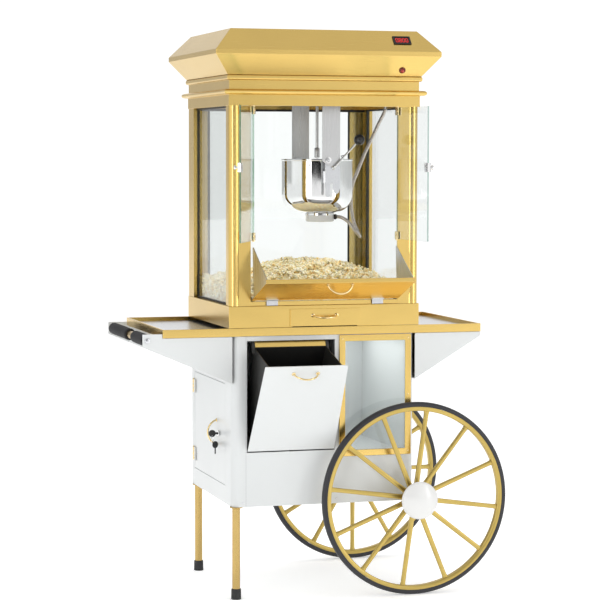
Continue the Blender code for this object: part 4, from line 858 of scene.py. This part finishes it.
# ------------------------------------------------------------------ doors and flap
def glass_door(name, side, open_deg):
    hinge = move_by(side * 0.2372, -0.2815, 0) @ turn_by(math.radians(side * open_deg), "Z")
    z0, z1, w, half = 1.1395, 1.557, 0.235, 0.0028

    def span_x(a, b):
        return sorted((-side * a, -side * b))

    xs = span_x(0.002, w)
    glass_slab(name + "_pane", (xs[0], -half, z0), (xs[1], half, z1), "Y", name, (name + "_glass",), hinge,
               "glass_edge_deep" if side < 0 else "glass_edge")
    for part, zc in (("_clamp_top", z1 - 0.0115), ("_clamp_bottom", z0 + 0.0115)):
        bits = []
        for y0, y1 in ((-0.0064, -half - 0.0002), (half + 0.0002, 0.0064)):
            a, b = span_x(-0.002, 0.0175)
            bits.append(box((a, y0, zc - 0.0125), (b, y1, zc + 0.0125)))
        a, b = span_x(-0.0034, 0.0012)
        bits.append(box((a, -0.0064, zc - 0.0125), (b, 0.0064, zc + 0.0125)))
        sx = -side * 0.0105
        bits.append(screw((sx, -0.0064, zc), (0, -1, 0), 0.0042, 0.0014, 20))
        bits.append(screw((sx, 0.0064, zc), (0, 1, 0), 0.0042, 0.0014, 20))
        pin_z = zc + (0.0125 if "top" in part else -0.016)
        bits.append(lathe([(0, 0), (0.004, 0), (0.004, 0.0035), (0, 0.0035)], (0, 0, pin_z), "Z", 16))
        put(name + part + "_block", moved(merge(*bits), hinge), "brass", name, (name + part,),
            0.0007)
    zc = (z0 + z1) / 2 + 0.02
    bits = []
    for y0, y1 in ((-0.0066, -half - 0.0002), (half + 0.0002, 0.0066)):
        a, b = span_x(w - 0.014, w + 0.006)
        bits.append(box((a, y0, zc - 0.014), (b, y1, zc + 0.014)))
    a, b = span_x(w + 0.0006, w + 0.006)
    bits.append(box((a, -0.0066, zc - 0.014), (b, 0.0066, zc + 0.014)))
    stud = [(0, 0), (0.0034, 0), (0.0034, 0.005), (0.0066, 0.0072), (0.007, 0.0105), (0.0056, 0.0128),
            (0, 0.0134)]
    bits.append(moved(lathe(stud, (0, 0, 0), "Z", 28), move_by(-side * (w - 0.002), -0.0062, zc)
                      @ turn_by(math.pi / 2, "X")))
    put(name + "_clip", moved(merge(*bits), hinge), "chrome", name, (name + "_pull",), 0.0007)


def flap():
    pivot = move_by(0, -0.2815, 0.952) @ turn_by(math.radians(69.5), "X")
    dress("flap_panel", "gold", 0.0009)
    dress("flap_liner", "steel_up", 0.0003)
    bow("flap_bow", pivot @ move_by(0, -0.003, 0.1635), "flap", ("flap_pull",))
    leaves = []
    for side in (-1, 1):
        x = side * 0.1745
        for k in range(5):
            a = x - 0.0185 + k * 0.0074
            ring = [(0, 0), (0.0034, 0), (0.004, 0.0005), (0.004, 0.0064), (0.0034, 0.0069), (0, 0.0069)]
            leaves.append(moved(lathe(ring, (0, 0, 0), "Z", 18), move_by(a, -0.2815, 0.952)
                @ turn_by(math.pi / 2, "Y")))
    put("flap_hinge_barrels", merge(*leaves), "steel", "flap")
    plates, heads = [], []
    for side in (-1, 1):
        x = side * 0.1745
        plates.append(box((x - 0.0185, -0.2772, 0.9335), (x + 0.0185, -0.2762, 0.949)))
        heads += [screw((x + dx, -0.2772, 0.94), (0, -1, 0), 0.0026, 0.001, 14) for dx in (-0.011, 0.011)]
    put("flap_hinge_plates", merge(*plates, *heads), "steel", "cart")


# ------------------------------------------------------------------ kettle
def kettle():
    cx, rim_z, low_z, r = 0.055, 1.392, 1.218, 0.1165
    flat_r = 0.055
    wall = 0.0016
    bowl = [(0, low_z)] + [(flat_r + (r - flat_r) * math.sin(a), low_z + 0.06 * (1 - math.cos(a)))
                           for a in [math.pi / 2 * i / 20 for i in range(21)]]
    bowl += [(r, rim_z - 0.005), (r + 0.0018, rim_z - 0.004), (r + 0.0026, rim_z - 0.0022),
             (r + 0.0022, rim_z - 0.0006), (r + 0.0006, rim_z),
             (r - wall, rim_z - 0.001), (r - wall, rim_z - 0.006)]
    inside = [(flat_r + (r - wall - flat_r) * math.sin(a), low_z + wall + 0.06 * (1 - math.cos(a)))
              for a in [math.pi / 2 * i / 12 for i in range(12, -1, -1)]]
    pot = lathe(bowl + inside + [(0, low_z + wall)], (cx, 0, 0), "Z", 96)
    a0 = math.degrees(math.acos(0.018 / (r + 0.0012)))
    outline = [(cx + x, y) for x, y in arc(0, 0, r + 0.0012, a0, 360 - a0, 60)]
    cover = prism(outline, rim_z + 0.0002, rim_z + 0.0016, "Z")
    ys = 0.175 - 0.0025
    arms = []
    for side in (-1, 1):
        y0, y1 = sorted((side * (ys + 0.0), side * (ys - 0.003)))
        plate = [(0.0315, 1.279), (0.036, 1.272), (0.044, 1.272), (0.048, 1.279), (0.048, 1.318),
                 (0.056, 1.318), (0.056, 1.302),
                 (0.06, 1.286), (0.068, 1.28), (0.076, 1.286), (0.081, 1.302), (0.081, 1.388), (0.056, 1.4),
                 (0.0315, 1.398)]
        arms.append(prism(plate, y0, y1, "Y"))
        y0, y1 = sorted((side * (ys - 0.002), side * (r - 0.0008)))
        arms.append(box((0.041, y0, 1.315), (0.069, y1, 1.355)))
        pin = [(0, 0), (0.005, 0), (0.005, 0.009), (0.004, 0.01), (0, 0.01)]
        turn = turn_by(-side * math.pi / 2, "X")
        arms.append(moved(lathe(pin, (0, 0, 0), "Z", 24), move_by(0.04, side * (ys - 0.0005), 1.39) @ turn))
    put("kettle_bowl", pot, "chrome", "kettle", ("kettle_pot",), 0, 40)
    put("kettle_cover", cover, "chrome", "kettle", (), 0.0005)
    put("kettle_brackets", merge(*arms), "steel", "kettle", (), 0.0006)
    lid_out = [(0.0736 - 0.0186 + x, y) for x, y in arc(0, 0, r + 0.0012, -a0 + 0.4, a0 - 0.4, 40)]
    lid = prism(lid_out, rim_z + 0.0008, rim_z + 0.002, "Z")
    knob = lathe([(0, 0), (0.004, 0), (0.0034, 0.004), (0.006, 0.007), (0.0062, 0.01), (0.004, 0.0122),
                  (0, 0.0126)], (0.1436, 0, rim_z + 0.0018), "Z", 28)
    put("kettle_lid_half", merge(lid, knob), "chrome", "lid", ("kettle_lid",), 0.0004)
    cup_x, cup_y, top = 0.061, -0.012, 1.218
    cup = [(0, -0.03), (0.042, -0.03), (0.0452, -0.0285), (0.0462, -0.025), (0.0462, -0.001),
           (0.044, -0.0004), (0, -0.0004)]
    put("heater_cup", lathe(cup, (cup_x, cup_y, top), "Z", 64), "white_plastic", "kettle",
        ("kettle_base",))
    band = [(0.0464, -0.008), (0.047, -0.008), (0.047, -0.002), (0.0464, -0.002)]
    spigot = [(0, 0), (0.0092, 0), (0.0092, 0.005), (0.0076, 0.006), (0.0076, 0.013), (0.0088, 0.014),
              (0.0088, 0.019), (0.007, 0.02), (0, 0.02)]
    gland = moved(lathe(spigot, (0, 0, 0), "Z", 24), move_by(cup_x + 0.034, cup_y - 0.01, top - 0.014)
                  @ turn_by(math.pi / 2, "Y"))
    put("heater_trim", lathe(band, (cup_x, cup_y, top), "Z", 64), "chrome", "kettle")
    put("heater_gland", gland, "dark", "kettle")
    dress("agitator", "steel_up", 0.0004)
    lever()
    shaft = [(0, 1.3982), (0.0072, 1.3982), (0.0086, 1.4), (0.0086, 1.428), (0.0074, 1.43), (0.005, 1.4302),
             (0.005, 1.589), (0, 1.589)]
    set_screw = moved(lathe([(0, 0), (0.0024, 0), (0.0024, 0.003), (0, 0.003)], (0, 0, 0), "Z", 12),
                      move_by(cx, -0.0078, 1.414) @ turn_by(math.pi / 2, "X"))
    put("drive_rod", merge(lathe(shaft, (cx, 0, 0), "Z", 32), set_screw), "steel_up", "drive",
        ("drive_shaft",))
    dress("kettle_hanger", "steel_up", 0.0005)
    nut = []
    for side in (-1, 1):
        turn = turn_by(-side * math.pi / 2, "X")
        nut.append(moved(lathe([(0.0056, 0), (0.01, 0), (0.01, 0.0014), (0.0056, 0.0018)], (0, 0, 0), "Z",
            24), move_by(0.04, side * 0.1766, 1.39) @ turn))
    put("hanger_washers", merge(*nut), "chrome", "cart")
    seat = [(0.0064, 0), (0.013, 0), (0.013, -0.006), (0.0105, -0.0075), (0.0105, -0.018), (0.0082, -0.02),
            (0.0064, -0.02)]
    put("conduit_gland", lathe(seat[::-1], (0.285, -0.032, 1.5898), "Z", 28), "steel", "cart")


def lever():
    """Bent rod from the kettle's front bracket up to a ball knob."""
    px, pz = 0.04, 1.39
    front = -0.175 + 0.0025 - 0.0004
    start = Vector((px + 0.018, front, pz - 0.0245))
    knob = Vector((px + 0.101, -0.185, pz + 0.0655))
    bend = Vector((px + 0.019, -0.185, pz - 0.0215))
    route = [start, Vector((start.x, -0.18, start.z)), bend, bend.lerp(knob, 0.15), bend.lerp(knob, 0.5),
             bend.lerp(knob, 0.84)]
    foot = moved(lathe([(0, 0), (0.0064, 0), (0.0064, 0.002), (0.004, 0.004), (0, 0.004)], (0, 0, 0), "Z",
                       24), Matrix.Translation(start) @ turn_by(math.pi / 2, "X"))
    put("lever_rod", merge(tube(smooth_path([tuple(p) for p in route], 0.003), 0.0031, 14), foot), "chrome",
        "kettle", ("dump_lever",), 0, 40)
    r = 0.0175
    ball = [(0, -r)] + [(r * math.cos(a), r * math.sin(a)) for a in [math.radians(-84 + 168 * i / 20)
        for i in range(21)]] + [(0, r)]
    put("lever_ball", moved(lathe(ball, (0, 0, 0), "Z", 40), Matrix.Translation(knob)), "black", "kettle",
        ("lever_knob",), 0, 60)


def base():
    dress("machine_base", "gold", 0.0016)
    dress("crumb_drawer", "gold", 0.0009)
    bow("drawer_bow", move_by(-0.002, -0.2795, 0.9) @ turn_by(math.radians(12), "X"), "drawer",
        ("drawer_pull",))
    y1 = BASE_HI.y - MID_Y
    panel = [box((-0.24, y1 - 0.0004, 0.872), (0.24, y1 + 0.0008, 0.924))]
    panel += [screw((x, y1 + 0.0008, 0.898), (0, 1, 0), 0.0032, 0.0012, 16) for x in (-0.225, 0, 0.225)]
    put("rear_panel", merge(*panel), "steel", "cart", (), 0.0004)


cart()
legs()
handle()
wheel("front", -1, -8.0)
wheel("rear", 1, 0.0)
window()
bin_parts()
side_door()
base()
header()
roof()
glazing()
popcorn()
glass_door("door_left", -1, 115.0)
glass_door("door_right", 1, 95.0)
flap()
kettle()


# ------------------------------------------------------------------ studio
def area(name, place, aim, width, tall, power, colour=(1, 1, 1)):
    data = bpy.data.lights.new(name, "AREA")
    data.shape = "RECTANGLE"
    data.size, data.size_y, data.energy, data.color = width, tall, power, colour
    obj = bpy.data.objects.new(name, data)
    bpy.context.scene.collection.objects.link(obj)
    obj.location = place
    obj.rotation_euler = (Vector(aim) - Vector(place)).to_track_quat("-Z", "Y").to_euler()
    return obj


def studio():
    floor = put("studio_floor", box((-40, -40, -0.02), (40, 40, 0.0)), "white", None, (), 0, 30,
                False)
    mat, tree, bsdf = new_material("floor_paper")
    fac = noise_node(tree, (1, 1, 1), 30.0, 3.0)
    tree.links.new(ramp(tree, fac, [(0.3, (0.93, 0.93, 0.93)), (0.7, (0.95, 0.95, 0.95))]),
                   bsdf.inputs["Base Color"])
    bsdf.inputs["Roughness"].default_value = 0.9
    bsdf.inputs["Emission Color"].default_value = (1, 1, 1, 1)
    bsdf.inputs["Emission Strength"].default_value = 0.32
    floor.data.materials[0] = mat
    world = bpy.data.worlds.new("studio")
    world.use_nodes = True
    bpy.context.scene.world = world
    tree = world.node_tree
    coord = tree.nodes.new("ShaderNodeTexCoord")
    split = tree.nodes.new("ShaderNodeSeparateXYZ")
    tree.links.new(coord.outputs["Generated"], split.inputs["Vector"])

    def math_node(operation, *inputs):
        made = tree.nodes.new("ShaderNodeMath")
        made.operation = operation
        for k, value in enumerate(inputs):
            if isinstance(value, (int, float)):
                made.inputs[k].default_value = value
            else:
                tree.links.new(value, made.inputs[k])
        return made.outputs["Value"]

    # brightness round the horizon, by degrees from straight ahead of the cart towards +X:
    # a white backdrop behind it, soft panels at both sides and a dark gap where a camera would stand
    top_level = 1.5
    panels = (
        (-180, 0.62), (-150, 0.58), (-112, 0.6), (-102, 1.15), (-70, 1.1), (-60, 0.62), (-40, 0.52),
        (-34, 0.02),
        (-1, 0.02), (4, 0.46), (10, 0.56), (14, 0.66), (19, 1.2), (30, 1.15), (50, 0.85), (70, 0.78),
        (100, 0.7),
        (136, 0.62), (150, 1.08), (175, 1.08), (180, 0.9),
    )
    ahead = math_node("MULTIPLY", split.outputs["Y"], -1.0)
    angle = math_node("ARCTAN2", split.outputs["X"], ahead)
    turn = math_node("MULTIPLY_ADD", angle, 0.5 / math.pi, 0.5)
    stops = [((deg + 180) / 360, (level / top_level,) * 3) for deg, level in panels]
    around = math_node("MULTIPLY", ramp(tree, turn, stops), top_level)
    fade = tree.nodes.new("ShaderNodeMapRange")
    fade.interpolation_type = "SMOOTHSTEP"
    for key, value in (("From Min", 0.3), ("From Max", 0.8)):
        fade.inputs[key].default_value = value
    tree.links.new(split.outputs["Z"], fade.inputs["Value"])
    ceiling = 0.78
    rest = math_node("SUBTRACT", ceiling, around)
    level = math_node("MULTIPLY_ADD", rest, fade.outputs["Result"], around)
    tree.links.new(level, tree.nodes["Background"].inputs["Strength"])
    tree.nodes["Background"].inputs["Color"].default_value = (1, 1, 1, 1)
    area("key", (-3.4, -3.6, 1.9), (0, 0, 1.0), 1.5, 3.4, 48)
    area("fill", (3.2, -3.4, 1.7), (0, 0, 1.0), 1.0, 3.0, 32)
    case = area("case", (0.17, MID_Y, 0.815), (0.17, MID_Y, 0.4), 0.2, 0.4, 0.75)
    case.visible_glossy = False
    cabinet = area("cabinet", (0.0, MID_Y - 0.05, 1.545), (0.0, MID_Y - 0.05, 1.0), 0.45, 0.25, 2.6,
                   (1.0, 0.95, 0.86))
    cabinet.visible_glossy = False
    top = area("top", (0.2, 0.2, 4.6), (0, 0, 1.0), 3.0, 3.0, 90)
    top.visible_glossy = False
    bpy.context.scene.view_settings.view_transform = "Standard"


studio()
